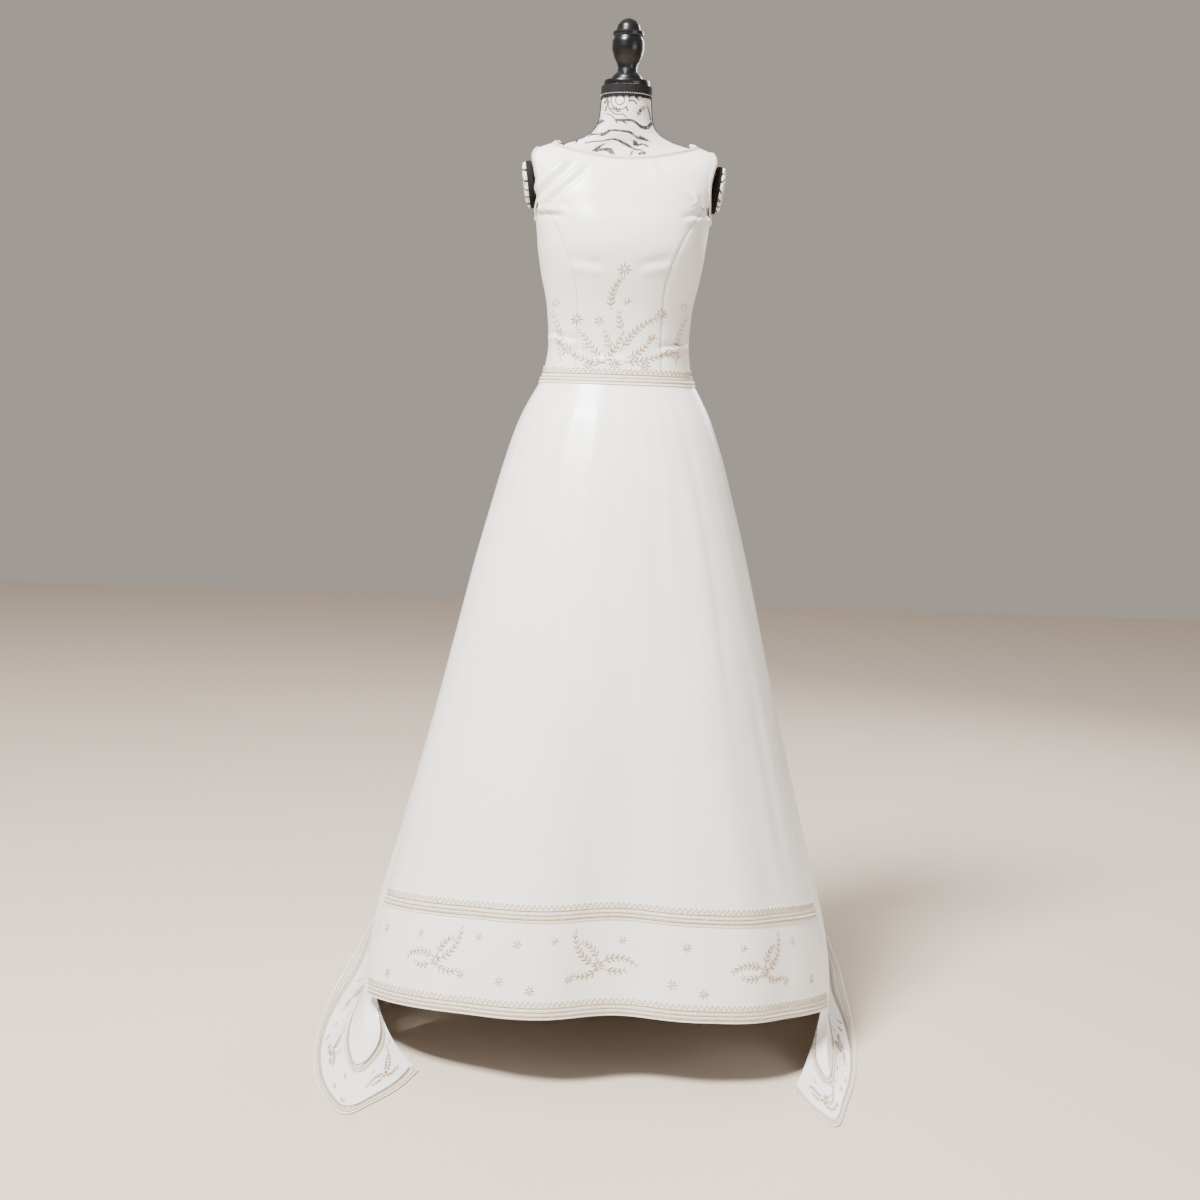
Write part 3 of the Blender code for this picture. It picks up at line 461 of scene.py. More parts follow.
# %% The skirt's lines
SKIRT = (
    (1.150, 0.130, 0.093, 0.092, 2.2, 0.0),
    (1.125, 0.144, 0.106, 0.108, 2.2, 0.0),
    (1.080, 0.167, 0.130, 0.136, 2.2, -0.002),
    (1.014, 0.190, 0.156, 0.170, 2.2, -0.006),
    (0.924, 0.215, 0.184, 0.208, 2.2, -0.012),
    (0.834, 0.238, 0.207, 0.244, 2.2, -0.020),
    (0.744, 0.259, 0.226, 0.280, 2.2, -0.029),
    (0.653, 0.280, 0.243, 0.318, 2.2, -0.038),
    (0.563, 0.301, 0.258, 0.358, 2.2, -0.048),
    (0.473, 0.323, 0.272, 0.400, 2.2, -0.058),
    (0.383, 0.346, 0.285, 0.446, 2.2, -0.068),
    (0.293, 0.370, 0.298, 0.494, 2.2, -0.077),
    (0.203, 0.394, 0.311, 0.545, 2.2, -0.085),
    (0.113, 0.411, 0.323, 0.590, 2.2, -0.092),
    (0.000, 0.415, 0.332, 0.640, 2.2, -0.097),
)

# Columns: turn, out, spread, top
FLUTES = (
    (-0.22, 0.010, 0.20, 0.90),
    (0.06, -0.034, 0.23, 0.80),
    (0.42, 0.012, 0.17, 0.85),
    (1.36, 0.016, 0.09, 0.80),
    (1.50, -0.030, 0.08, 0.95),
    (1.66, 0.022, 0.10, 1.00),
    (1.83, -0.034, 0.08, 1.05),
    (2.00, 0.030, 0.10, 1.05),
    (-1.81, -0.032, 0.08, 1.00),
    (-1.64, 0.024, 0.10, 1.05),
    (-1.49, -0.028, 0.08, 0.90),
    (-1.35, 0.014, 0.09, 0.80),
)

# Columns: turn, left_across, left_deep, right_across, right_deep, high, leave
HEM = (
    (0.820, 0.321, -0.386, 0.290, -0.340, 0.000, 0.24),
    (0.860, 0.334, -0.440, 0.312, -0.420, 0.000, 0.24),
    (0.905, 0.352, -0.490, 0.344, -0.485, 0.000, 0.24),
    (0.950, 0.376, -0.524, 0.385, -0.540, 0.000, 0.24),
    (1.000, 0.400, -0.440, 0.432, -0.455, 0.000, 0.24),
    (1.060, 0.426, -0.335, 0.462, -0.340, 0.000, 0.24),
    (1.125, 0.446, -0.212, 0.480, -0.205, 0.000, 0.24),
    (1.190, 0.460, -0.060, 0.487, -0.055, 0.000, 0.24),
    (1.270, 0.470, 0.110, 0.486, 0.110, 0.000, 0.22),
    (1.370, 0.478, 0.310, 0.480, 0.310, 0.000, 0.20),
    (1.470, 0.476, 0.510, 0.476, 0.510, 0.000, 0.18),
    (1.590, 0.456, 0.715, 0.456, 0.715, 0.000, 0.16),
    (1.725, 0.376, 0.895, 0.376, 0.895, 0.000, 0.15),
    (1.860, 0.218, 1.020, 0.218, 1.020, 0.000, 0.15),
    (2.000, 0.000, 1.070, 0.000, 1.070, 0.000, 0.15),
)

TUCK = 0.07
VENT_TOP = 0.26
VENT_SHARE = 0.045
SWING_POWER = 2.6

# Columns: turn, rise, spread
TRAIN_WAVES = (
    (1.45, 0.014, 0.045),
    (1.64, 0.022, 0.055),
    (1.86, 0.018, 0.055),
    (-1.94, 0.020, 0.055),
    (-1.72, 0.024, 0.055),
    (-1.53, 0.016, 0.045),
)

SKIRT_HEIGHTS = [-row[0] for row in SKIRT]


@lru_cache(maxsize=None)
def skirt_row(height):
    return tuple(smooth_table(SKIRT, SKIRT_HEIGHTS, -height))


def swell(turn, height):
    """How far the flutes push the skirt out at a turn and height."""
    total = 0.0
    for at, out, spread, top in FLUTES:
        grown = smooth_step((top - height) / top)
        total += out * grown * bump(turn_distance(turn, at), spread)
    return total


def hanging_point(turn, height):
    """The skirt's inner face where it hangs between the waist and the hem."""
    point = on_ring(skirt_row(round(height, 6)), turn)
    away = Vector((point.x, point.y - skirt_row(round(height, 6))[5], 0.0)).normalized()
    return point + away * swell(turn, height)


def hem_height(turn):
    """The front hem's height, which sinks towards its corners."""
    share = min(abs(turn) / SKIRT_SEAM, 1.0)
    return FRONT_HEM + (SIDE_HEM - FRONT_HEM) * share**2.0


HEM_TURNS = [row[0] for row in HEM]
CURVE_STEPS = 70
SWING_STEPS = 50
WAIST_DROP = 1.4 * MM


def hem_place(turn):
    """(hem point, height where the cloth starts to swing out to it) on the back panels."""
    side = math.copysign(1.0, turn)
    _, left, left_deep, right, right_deep, high, leave = smooth_table(HEM, HEM_TURNS, abs(turn))
    across, deep = (left, left_deep) if side > 0 else (right, right_deep)
    return Vector((side * across, deep, max(high, 0.0))), leave


def front_line(turn):
    """The front's line at a turn, which draws in from the seam's open foot."""
    top, low = WAIST_SEAM - WAIST_DROP, hem_height(turn)
    steps = CURVE_STEPS + SWING_STEPS
    points = []
    for k in range(steps + 1):
        height = top + (low - top) * k / steps
        drawn = VENT_SHARE * smooth_step((VENT_TOP - height) / VENT_TOP)
        points.append(hanging_point(turn * (1.0 - drawn), height))
    return points


def back_line(turn):
    """A back panel's line: the cloth falls first and swings out to its hem near the floor."""
    top = WAIST_SEAM - WAIST_DROP
    end, leave = hem_place(turn)
    points = []
    for k in range(CURVE_STEPS):
        points.append(hanging_point(turn, top + (leave - top) * k / CURVE_STEPS))
    below = hanging_point(turn, end.z)
    below.x *= 1.0 - TUCK
    for k in range(SWING_STEPS + 1):
        t = k / SWING_STEPS
        point = hanging_point(turn, end.z + (leave - end.z) * (1.0 - t) ** 2)
        point.x *= 1.0 - TUCK * smooth_step(t)
        share = t**SWING_POWER
        point.x += share * (end.x - below.x)
        point.y += share * (end.y - below.y)
        points.append(point)
    return points


@lru_cache(maxsize=None)
def skirt_curve(turn):
    """The line of the cloth from the hem up to the waist at a turn, with lengths from the hem."""
    points = front_line(turn) if abs(turn) <= SKIRT_SEAM else back_line(turn)
    lengths = [0.0]
    for before, after in zip(points[::-1], points[-2::-1]):
        lengths.append(lengths[-1] + (after - before).length)
    return points[::-1], lengths


def curve_point(turn, distance):
    """The point of a skirt line at a distance up from the hem."""
    points, lengths = skirt_curve(turn)
    distance = min(max(distance, 0.0), lengths[-1])
    low, high = 0, len(lengths) - 1
    while high - low > 1:
        middle = (low + high) // 2
        if lengths[middle] <= distance:
            low = middle
        else:
            high = middle
    t = (distance - lengths[low]) / (lengths[high] - lengths[low])
    return points[low].lerp(points[high], t)


def train_wave(turn, point):
    """How far a wave lifts the cloth of the train off the floor."""
    if point.y < 0.15:
        return 0.0
    reach = smooth_step((point.y - 0.35) / 0.35)
    low = 1.0 - smooth_step((point.z - 0.02) / 0.06)
    total = sum(rise * bump(turn_distance(turn, at), spread) for at, rise, spread in TRAIN_WAVES)
    return total * reach * low


def skirt_place(turn, distance):
    """(inner point, normal) of the skirt at a turn and a distance up from the hem."""
    step_turn, step = 0.004, 0.004
    total = skirt_curve(turn)[1][-1]
    middle = min(max(distance, step), total - step)

    def lifted(at, far):
        found = curve_point(at, far)
        return found + Vector((0.0, 0.0, train_wave(at, found)))

    low, high = turn - step_turn, turn + step_turn
    if abs(turn) > SKIRT_SEAM:
        low = turn if abs(low) < SKIRT_SEAM else low
        high = turn if abs(high) < SKIRT_SEAM else high
    else:
        low, high = max(low, -SKIRT_SEAM), min(high, SKIRT_SEAM)
    along = lifted(round(wrap(high), 6), middle) - lifted(round(wrap(low), 6), middle)
    up = lifted(turn, middle + step) - lifted(turn, middle - step)
    return lifted(turn, distance), along.cross(up).normalized()


def wrap(turn):
    return (turn + 2.0) % 4.0 - 2.0


print("centre front line:", round(skirt_curve(0.0)[1][-1], 3), "m")

# %% [markdown]
# The satin is thick and close-woven. Its weave is too fine to see from a step away, so the
# finish has a faint grain, slow changes in gloss, and soft ripples where the cloth relaxes.

# %% Cloth finishes
def grain(nodes, links, shader, scale, strength, distance, below=None):
    """A bump of fine noise, over another bump if one is given."""
    place = nodes.new("ShaderNodeTexCoord")
    speckle = nodes.new("ShaderNodeTexNoise")
    speckle.inputs["Scale"].default_value = scale
    speckle.inputs["Detail"].default_value = 3.0
    links.new(place.outputs["Object"], speckle.inputs["Vector"])
    lifted = nodes.new("ShaderNodeBump")
    lifted.inputs["Strength"].default_value = strength
    lifted.inputs["Distance"].default_value = distance
    links.new(speckle.outputs["Fac"], lifted.inputs["Height"])
    if below:
        links.new(below.outputs["Normal"], lifted.inputs["Normal"])
    links.new(lifted.outputs["Normal"], shader.inputs["Normal"])
    return lifted


def shaded(nodes, links, socket, scale, low, high):
    """A slow change between two values or colours over the surface."""
    place = nodes.new("ShaderNodeTexCoord")
    speckle = nodes.new("ShaderNodeTexNoise")
    speckle.inputs["Scale"].default_value = scale
    links.new(place.outputs["Object"], speckle.inputs["Vector"])
    ramp = nodes.new("ShaderNodeValToRGB")
    ramp.color_ramp.elements[0].position = 0.3
    ramp.color_ramp.elements[1].position = 0.7
    ramp.color_ramp.elements[0].color = low
    ramp.color_ramp.elements[1].color = high
    links.new(speckle.outputs["Fac"], ramp.inputs["Fac"])
    links.new(ramp.outputs["Color"], socket)
    return ramp


def satin_finish():
    made = plain_finish("ivory_satin_cloth", (0.90, 0.88, 0.84), 0.38)
    nodes, links = made.node_tree.nodes, made.node_tree.links
    shader = nodes["Principled BSDF"]
    shader.inputs["Sheen Weight"].default_value = 0.05
    shader.inputs["Sheen Roughness"].default_value = 0.4
    warm, cool = (0.900, 0.875, 0.830, 1.0), (0.935, 0.920, 0.890, 1.0)
    shaded(nodes, links, shader.inputs["Base Color"], 5.0, warm, cool)
    glossy, matt = (0.26, 0.26, 0.26, 1.0), (0.36, 0.36, 0.36, 1.0)
    shaded(nodes, links, shader.inputs["Roughness"], 9.0, glossy, matt)
    soft = grain(nodes, links, shader, 16.0, 0.35, 2.0 * MM)
    grain(nodes, links, shader, 1400.0, 0.12, 0.1 * MM, soft)
    return made


def braid_finish():
    made = plain_finish("braid_ribbon", (0.80, 0.73, 0.62), 0.55)
    nodes, links = made.node_tree.nodes, made.node_tree.links
    shader = nodes["Principled BSDF"]
    shader.inputs["Sheen Weight"].default_value = 0.2
    dark, light = (0.80, 0.74, 0.65, 1.0), (0.90, 0.86, 0.79, 1.0)
    shaded(nodes, links, shader.inputs["Base Color"], 260.0, dark, light)
    grain(nodes, links, shader, 900.0, 0.6, 0.4 * MM)
    return made


def thread_finish(name, low, high):
    made = plain_finish(name, low[:3], 0.42)
    nodes, links = made.node_tree.nodes, made.node_tree.links
    shader = nodes["Principled BSDF"]
    shader.inputs["Sheen Weight"].default_value = 0.3
    shaded(nodes, links, shader.inputs["Base Color"], 120.0, low, high)
    grain(nodes, links, shader, 1600.0, 0.5, 0.2 * MM)
    return made


def pearl_finish():
    made = plain_finish("pearl_bead", (0.90, 0.85, 0.77), 0.16)
    nodes, links = made.node_tree.nodes, made.node_tree.links
    shader = nodes["Principled BSDF"]
    shader.inputs["Coat Weight"].default_value = 0.6
    shader.inputs["Coat Roughness"].default_value = 0.08
    warm, cool = (0.84, 0.77, 0.66, 1.0), (0.94, 0.92, 0.88, 1.0)
    shaded(nodes, links, shader.inputs["Base Color"], 300.0, warm, cool)
    return made


satin_cloth = satin_finish()
braid_ribbon = braid_finish()
piping_cord = thread_finish("piping_cord", (0.34, 0.22, 0.11, 1.0), (0.54, 0.41, 0.26, 1.0))
vine_thread = thread_finish("vine_thread", (0.27, 0.15, 0.06, 1.0), (0.50, 0.34, 0.19, 1.0))
pearl = pearl_finish()
print("cloth finishes:", satin_cloth.name, braid_ribbon.name, pearl.name)

# %% [markdown]
# A sheet of cloth is one skin of squares through its rows, given its thickness by Solidify
# towards the body. Its own UV map runs in metres, across and up. The area of the skin before
# it gets its thickness is the area of the cut, which the sheet states.

# %% Sheets of cloth
def add_skin(name, rows, finish, closed=False):
    """A skin through rows of points that rise, with turns growing along each row."""
    across = len(rows[0])
    points = [tuple(p) for row in rows for p in row]
    spans = across if closed else across - 1
    faces = []
    for r in range(len(rows) - 1):
        for c in range(spans):
            after = (c + 1) % across
            faces.append(
                (r * across + c, r * across + after, (r + 1) * across + after, (r + 1) * across + c)
            )
    mesh = bpy.data.meshes.new(name)
    mesh.from_pydata(points, [], faces)
    middle = rows[len(rows) // 2]
    width = sum((b - a).length for a, b in zip(middle, middle[1:]))
    length = sum((b[across // 2] - a[across // 2]).length for a, b in zip(rows, rows[1:]))
    weave = mesh.uv_layers.new(name="weave")
    for face in mesh.polygons:
        r, c = divmod(face.index, spans)
        corners = ((c, r), (c + 1, r), (c + 1, r + 1), (c, r + 1))
        for loop, (u, v) in zip(face.loop_indices, corners):
            weave.data[loop].uv = (u * width / spans, v * length / (len(rows) - 1))
    mesh.materials.append(finish)
    mesh.shade_smooth()
    thing = bpy.data.objects.new(name, mesh)
    bpy.context.scene.collection.objects.link(thing)
    thing["cut_area"] = sum(face.area for face in mesh.polygons)
    return thing


def thicken(thing, thickness):
    """Gives a skin its thickness, inwards."""
    deselect()
    bpy.context.view_layer.objects.active = thing
    thing.select_set(True)
    solid = thing.modifiers.new("thickness", "SOLIDIFY")
    solid.thickness = thickness
    solid.offset = -1.0
    bpy.ops.object.modifier_apply(modifier=solid.name)
    thing.data.set_sharp_from_angle(angle=math.radians(50.0))
    thing.select_set(False)


def declare_sheet(thing, width, length, with_pieces=()):
    area = thing["cut_area"]
    del thing["cut_area"]
    flat = (width, max(length, area / width * 1.001))
    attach(thing, "root")
    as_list(with_pieces)
    cuts.append((thing.name, round(flat[0], 3), round(flat[1], 3), round(area, 4)))


cuts = []
print("sheet tools ready")

# %% [markdown]
# The bodice is smooth, but worn satin creases: short slanting ones run from the neckline to
# each armhole, and small ones lie under the bust and above the waist. Each is a soft trough
# with a ridge beside it, placed on the front or the back.

# %% Creases of the bodice
CREASE_STRENGTH = 3.6
# Columns: facing, across_1, height_1, across_2, height_2, depth, width
CREASES = (
    (-1, 0.050, 1.522, 0.128, 1.466, 0.0016, 0.007),
    (-1, 0.128, 1.470, 0.143, 1.440, 0.0010, 0.005),
    (-1, -0.083, 1.522, -0.150, 1.458, 0.0016, 0.007),
    (-1, -0.060, 1.512, -0.128, 1.446, 0.0009, 0.006),
    (-1, 0.100, 1.428, 0.148, 1.440, 0.0010, 0.005),
    (-1, -0.098, 1.424, -0.148, 1.432, 0.0012, 0.005),
    (-1, -0.085, 1.352, -0.028, 1.342, 0.0008, 0.008),
    (-1, 0.030, 1.344, 0.082, 1.356, 0.0008, 0.008),
    (-1, -0.118, 1.226, -0.070, 1.212, 0.0009, 0.005),
    (-1, 0.064, 1.204, 0.116, 1.214, 0.0009, 0.005),
    (-1, -0.050, 1.186, 0.020, 1.192, 0.0006, 0.006),
    (1, 0.060, 1.520, 0.120, 1.470, 0.0014, 0.007),
    (1, -0.070, 1.518, -0.130, 1.464, 0.0012, 0.007),
    (1, 0.030, 1.226, 0.104, 1.214, 0.0012, 0.006),
    (1, -0.034, 1.216, -0.108, 1.226, 0.0012, 0.006),
    (1, 0.020, 1.192, 0.092, 1.186, 0.0009, 0.005),
    (1, -0.020, 1.188, -0.100, 1.194, 0.0009, 0.005),
)


def crease_lift(point):
    """How far the creases push the cloth out at a point of the bodice."""
    total = 0.0
    for facing, x1, z1, x2, z2, depth, width in CREASES:
        if facing * point.y < 0.0:
            continue
        along = Vector((x2 - x1, z2 - z1))
        offset = Vector((point.x - x1, point.z - z1))
        share = offset.dot(along) / along.length_squared
        if not -0.15 < share < 1.15:
            continue
        beside = (offset.x * along.y - offset.y * along.x) / along.length
        if abs(beside) > 4.0 * width:
            continue
        strength = smooth_step((share + 0.15) / 0.4) * smooth_step((1.15 - share) / 0.4)
        trough = math.exp(-((beside / width) ** 2))
        ridge = math.exp(-(((beside - 1.5 * width) / width) ** 2))
        total += CREASE_STRENGTH * depth * strength * (0.8 * ridge - trough)
    return total


def on_bodice(turn, mark, lift=0.0):
    """A point over the bodice's outer face."""
    skin = form_point(turn, mark)
    slack = BODICE_SLACK * noise.noise(skin * 22.0)
    return bodice_point(turn, mark, SATIN + lift + crease_lift(skin) + slack)


FINE_ROWS = 72
BODICE_SLACK = 0.7 * MM


SEAM_TUCK = 1.0 * MM
TUCK_REACH = 0.005


def panel_rows(place, columns, width, side=1):
    """Rows of a panel, drawn in along its two seams."""
    span = columns[-1] - columns[0]
    edges = [min(k - columns[0], columns[-1] - k) * width / span for k in columns]
    tucks = [-SEAM_TUCK * math.exp(-((edge / TUCK_REACH) ** 2)) for edge in edges]
    rows = []
    for r in range(FINE_ROWS + 1):
        places = [place(k, r / FINE_ROWS) for k in columns]
        row = [on_bodice(side * turn, mark, tuck) for (turn, mark), tuck in zip(places, tucks)]
        rows.append(row if side > 0 else row[::-1])
    return rows


def steps(low, high, count):
    return [low + (high - low) * k / count for k in range(count + 1)]


# %% [markdown]
# Each panel of the bodice is a grid of points on the form, pushed out by the creases and
# drawn in at its two seams, where sewing pulls the satin down. Solidify gives it its wall.

# %% Bodice panels
bodice = [add_skin("satin_front", panel_rows(front_place, steps(-1.0, 1.0, 96), 0.34), satin_cloth)]
bodice_nodes = ["bodice_front"]
for side, name in ((1, "left"), (-1, "right")):
    side_rows = panel_rows(side_front_place, steps(0.0, 1.0, 32), 0.11, side)
    back_rows = panel_rows(back_place, steps(0.0, 1.0, 64), 0.23, side)
    bodice.append(add_skin(f"satin_side_front_{name}", side_rows, satin_cloth))
    bodice.append(add_skin(f"satin_back_{name}", back_rows, satin_cloth))
    bodice_nodes += [f"bodice_side_front_{name}", f"bodice_back_{name}"]
BODICE_CUTS = ((0.340, 0.420), (0.110, 0.330), (0.230, 0.430), (0.110, 0.330), (0.230, 0.430))
for panel, node, (width, length) in zip(bodice, bodice_nodes, BODICE_CUTS):
    thicken(panel, SATIN)
    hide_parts(node)
    declare_sheet(panel, width, length)
print("bodice panels:", len(bodice))

# %% [markdown]
# The skirt and its hem band share the same lines, so a lattice is worked out once for each of
# the three panels: points and normals by turn and by distance up from the hem. The cloth, the
# braids and the embroidery all read that lattice, and so they lie on each other exactly.

# %% The skirt's lattice
SLACK = 1.8 * MM
BAND_ROWS = 26
SKIRT_ROWS = 78
# Columns: turn, out, spread, low, high
RIPPLES = (
    (-0.55, 0.0012, 0.05, 0.20, 0.70),
    (-0.36, -0.0016, 0.06, 0.10, 0.80),
    (-0.06, 0.0014, 0.07, 0.30, 0.95),
    (0.22, -0.0012, 0.06, 0.10, 0.85),
    (0.46, 0.0014, 0.05, 0.25, 0.90),
    (0.66, -0.0014, 0.05, 0.10, 0.60),
    (1.30, 0.0020, 0.05, 0.20, 0.90),
    (1.58, -0.0020, 0.05, 0.20, 0.90),
    (1.92, 0.0018, 0.05, 0.20, 0.90),
    (-1.30, -0.0018, 0.05, 0.20, 0.90),
    (-1.60, 0.0020, 0.05, 0.20, 0.90),
    (-1.90, -0.0018, 0.05, 0.20, 0.90),
)


def ripple(turn, share):
    """Small folds between the flutes; share 0 at the hem and 1 at the waist."""
    total = 0.0
    for at, out, spread, low, high in RIPPLES:
        grown = smooth_step((share - low) / 0.2) * smooth_step((high - share) / 0.2)
        total += out * grown * bump(turn_distance(turn, at), spread)
    return total


def skirt_outer(turn, distance):
    """(outer point, normal) of the skirt's cloth."""
    total = skirt_curve(turn)[1][-1]
    place, normal = skirt_place(turn, distance)
    slack = SLACK * noise.noise(Vector((turn * 11.0, distance * 3.2, 0.0)))
    slack *= smooth_step(distance / 0.05) * smooth_step((total - distance) / 0.12)
    point = place + normal * (SATIN + ripple(turn, distance / total) + slack)
    point.z = max(point.z, SATIN * max(normal.z, 0.0))
    return point, normal


def make_lattice(turns):
    totals = [skirt_curve(turn)[1][-1] for turn in turns]
    band = steps(0.0, HEM_BAND - SEAM_GAP / 2.0, BAND_ROWS)
    shares = steps(0.0, 1.0, SKIRT_ROWS)
    low = HEM_BAND + SEAM_GAP / 2.0
    return {
        "turns": turns,
        "band": [[skirt_outer(turn, far) for turn in turns] for far in band],
        "skirt": [
            [skirt_outer(turn, low + (total - low) * share) for turn, total in zip(turns, totals)]
            for share in shares
        ],
    }


FRONT_EDGE = SKIRT_SEAM - 0.0018
BACK_EDGE = SKIRT_SEAM + 0.0018
back_turns = steps(BACK_EDGE, 1.22, 72)[:-1] + steps(1.22, 2.0 - 0.0004, 60)
back_turns = [round(turn, 6) for turn in back_turns]
lattices = {
    "front": make_lattice([round(turn, 6) for turn in steps(-FRONT_EDGE, FRONT_EDGE, 96)]),
    "back_left": make_lattice(back_turns),
    "back_right": make_lattice([-turn for turn in back_turns][::-1]),
}
print("lattice columns:", {name: len(found["turns"]) for name, found in lattices.items()})


# %% [markdown]
# The skirt panels and the hem band are grids from the lattice, given a wall in the same way.

# %% Skirt and hem band
SKIRT_CUTS = {"front": (0.80, 0.90), "back_left": (1.62, 1.35), "back_right": (1.62, 1.35)}
BAND_CUTS = {"front": (0.84, 0.165), "back_left": (1.78, 0.165), "back_right": (1.78, 0.165)}
for name, lattice in lattices.items():
    parts = (("skirt", SKIRT_CUTS[name]), ("band", BAND_CUTS[name]))
    for part, (width, length) in parts:
        rows = [[point for point, _ in row] for row in lattice[part]]
        panel = add_skin(f"satin_{part}_{name}", rows, satin_cloth)
        thicken(panel, SATIN)
        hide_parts(f"skirt_{name}" if part == "skirt" else f"hem_band_{name}")
        declare_sheet(panel, width, length)
print("skirt panels and hem bands made")

# %% [markdown]
# A bead is a small round thing with a hole, sewn down flat. One bead and one leaf are each
# modelled once from a ball pressed flat. The leaf, which also serves as a petal, is drawn out to
# a point at both ends. A row of them is then one mesh of many copies, each with its own size
# and heading.

# %% Bead and leaf
def small_shape(name, rings, segments, flatten, pinch):
    deselect()
    bpy.ops.mesh.primitive_uv_sphere_add(segments=segments, ring_count=rings, radius=1.0)
    made = bpy.context.object
    made.name = name
    bpy.ops.object.mode_set(mode="EDIT")
    bpy.ops.mesh.select_all(action="SELECT")
    bpy.ops.transform.resize(value=(1.0, 1.0, flatten))
    bpy.ops.object.mode_set(mode="OBJECT")
    for corner in made.data.vertices:
        corner.co.y *= (1.0 - pinch * abs(corner.co.x) ** 2)
    points = [corner.co.copy() for corner in made.data.vertices]
    faces = [tuple(face.vertices) for face in made.data.polygons]
    bpy.data.objects.remove(made, do_unlink=True)
    return points, faces


BEAD = small_shape("bead", 4, 6, 0.85, 0.0)
LEAF = small_shape("leaf", 5, 8, 0.8, 0.55)


def sew_down(name, shape, seats, finish):
    """One mesh of many copies. A seat is (point, normal, heading, (length, width, height))."""
    points, faces = [], []
    shape_points, shape_faces = shape
    for point, normal, heading, (length, width, height) in seats:
        heading = (heading - normal * heading.dot(normal)).normalized()
        beside = normal.cross(heading)
        start = len(points)
        for corner in shape_points:
            points.append(
                point
                + heading * (corner.x * length / 2.0)
                + beside * (corner.y * width / 2.0)
                + normal * (corner.z * height / 2.0)
            )
        faces += [tuple(start + i for i in face) for face in shape_faces]
    mesh = bpy.data.meshes.new(name)
    mesh.from_pydata([tuple(p) for p in points], [], faces)
    mesh.materials.append(finish)
    mesh.shade_smooth()
    thing = bpy.data.objects.new(name, mesh)
    bpy.context.scene.collection.objects.link(thing)
    return thing


def lay_cord(name, lines, radius, finish, sides=6):
    """Round cords along lines of (point, normal, heading), joined as one mesh."""
    points, faces = [], []
    for line in lines:
        start = len(points)
        for point, normal, heading in line:
            beside = normal.cross(heading).normalized()
            for k in range(sides):
                angle = 2.0 * math.pi * k / sides
                points.append(point + (beside * math.cos(angle) + normal * math.sin(angle)) * radius)
        for r in range(len(line) - 1):
            for k in range(sides):
                after = (k + 1) % sides
                low, high = start + r * sides, start + (r + 1) * sides
                faces.append((low + k, high + k, high + after, low + after))
        last = start + (len(line) - 1) * sides
        faces.append(tuple(start + k for k in range(sides)))
        faces.append(tuple(last + k for k in range(sides))[::-1])
    mesh = bpy.data.meshes.new(name)
    mesh.from_pydata([tuple(p) for p in points], [], faces)
    mesh.materials.append(finish)
    mesh.shade_smooth()
    thing = bpy.data.objects.new(name, mesh)
    bpy.context.scene.collection.objects.link(thing)
    return thing


def walk(line, spacing):
    """(point, normal, heading) at even steps along a line of (point, normal)."""
    found = []
    wanted, passed = spacing / 2.0, 0.0
    for (a, a_normal), (b, b_normal) in zip(line, line[1:]):
        span = (b - a).length
        if span < 1e-7:
            continue
        heading = (b - a) / span
        while wanted <= passed + span:
            share = (wanted - passed) / span
            found.append((a.lerp(b, share), a_normal.lerp(b_normal, share).normalized(), heading))
            wanted += spacing
        passed += span
    return found


print("bead and leaf corners:", len(BEAD[0]), len(LEAF[0]))

# %% [markdown]
# Every braid is built alike from the photograph: a woven ribbon with two lines of beige
# piping, a row of pearls between them, a row of smaller beads beyond, and a zigzag of thread
# along the upper edge. The hem's lower edge has small hanging beads. The narrow edges of the
# neck and armholes have one cord and one row.

# %% Braids
CORD_RADIUS = 0.8 * MM
# Columns: kind, share of width, size, spacing
BRAID_LAYOUT = (
    ("cord", 0.14, 0.00080, 0.0045),
    ("bead", 0.27, 0.0030, 0.0042),
    ("cord", 0.40, 0.00075, 0.0045),
    ("bead", 0.53, 0.0022, 0.0060),
    ("cord", 0.66, 0.00080, 0.0045),
)
ZIGZAG_LOW, ZIGZAG_HIGH, ZIGZAG_STEP = 0.74, 1.04, 0.0046
EDGE_BEAD = 0.0028
PICOT_STEP = 0.0052


def across_line(rows, share, lift):
    """The line of (point, normal) a share of the way from the lower row to the upper one."""
    scaled = share * (len(rows) - 1)
    r = min(int(max(scaled, 0.0)), len(rows) - 2)
    t = scaled - r
    line = []
    for (low, low_normal), (high, high_normal) in zip(rows[r], rows[r + 1]):
        normal = low_normal.lerp(high_normal, min(max(t, 0.0), 1.0)).normalized()
        line.append((low + (high - low) * t + normal * lift, normal))
    return line


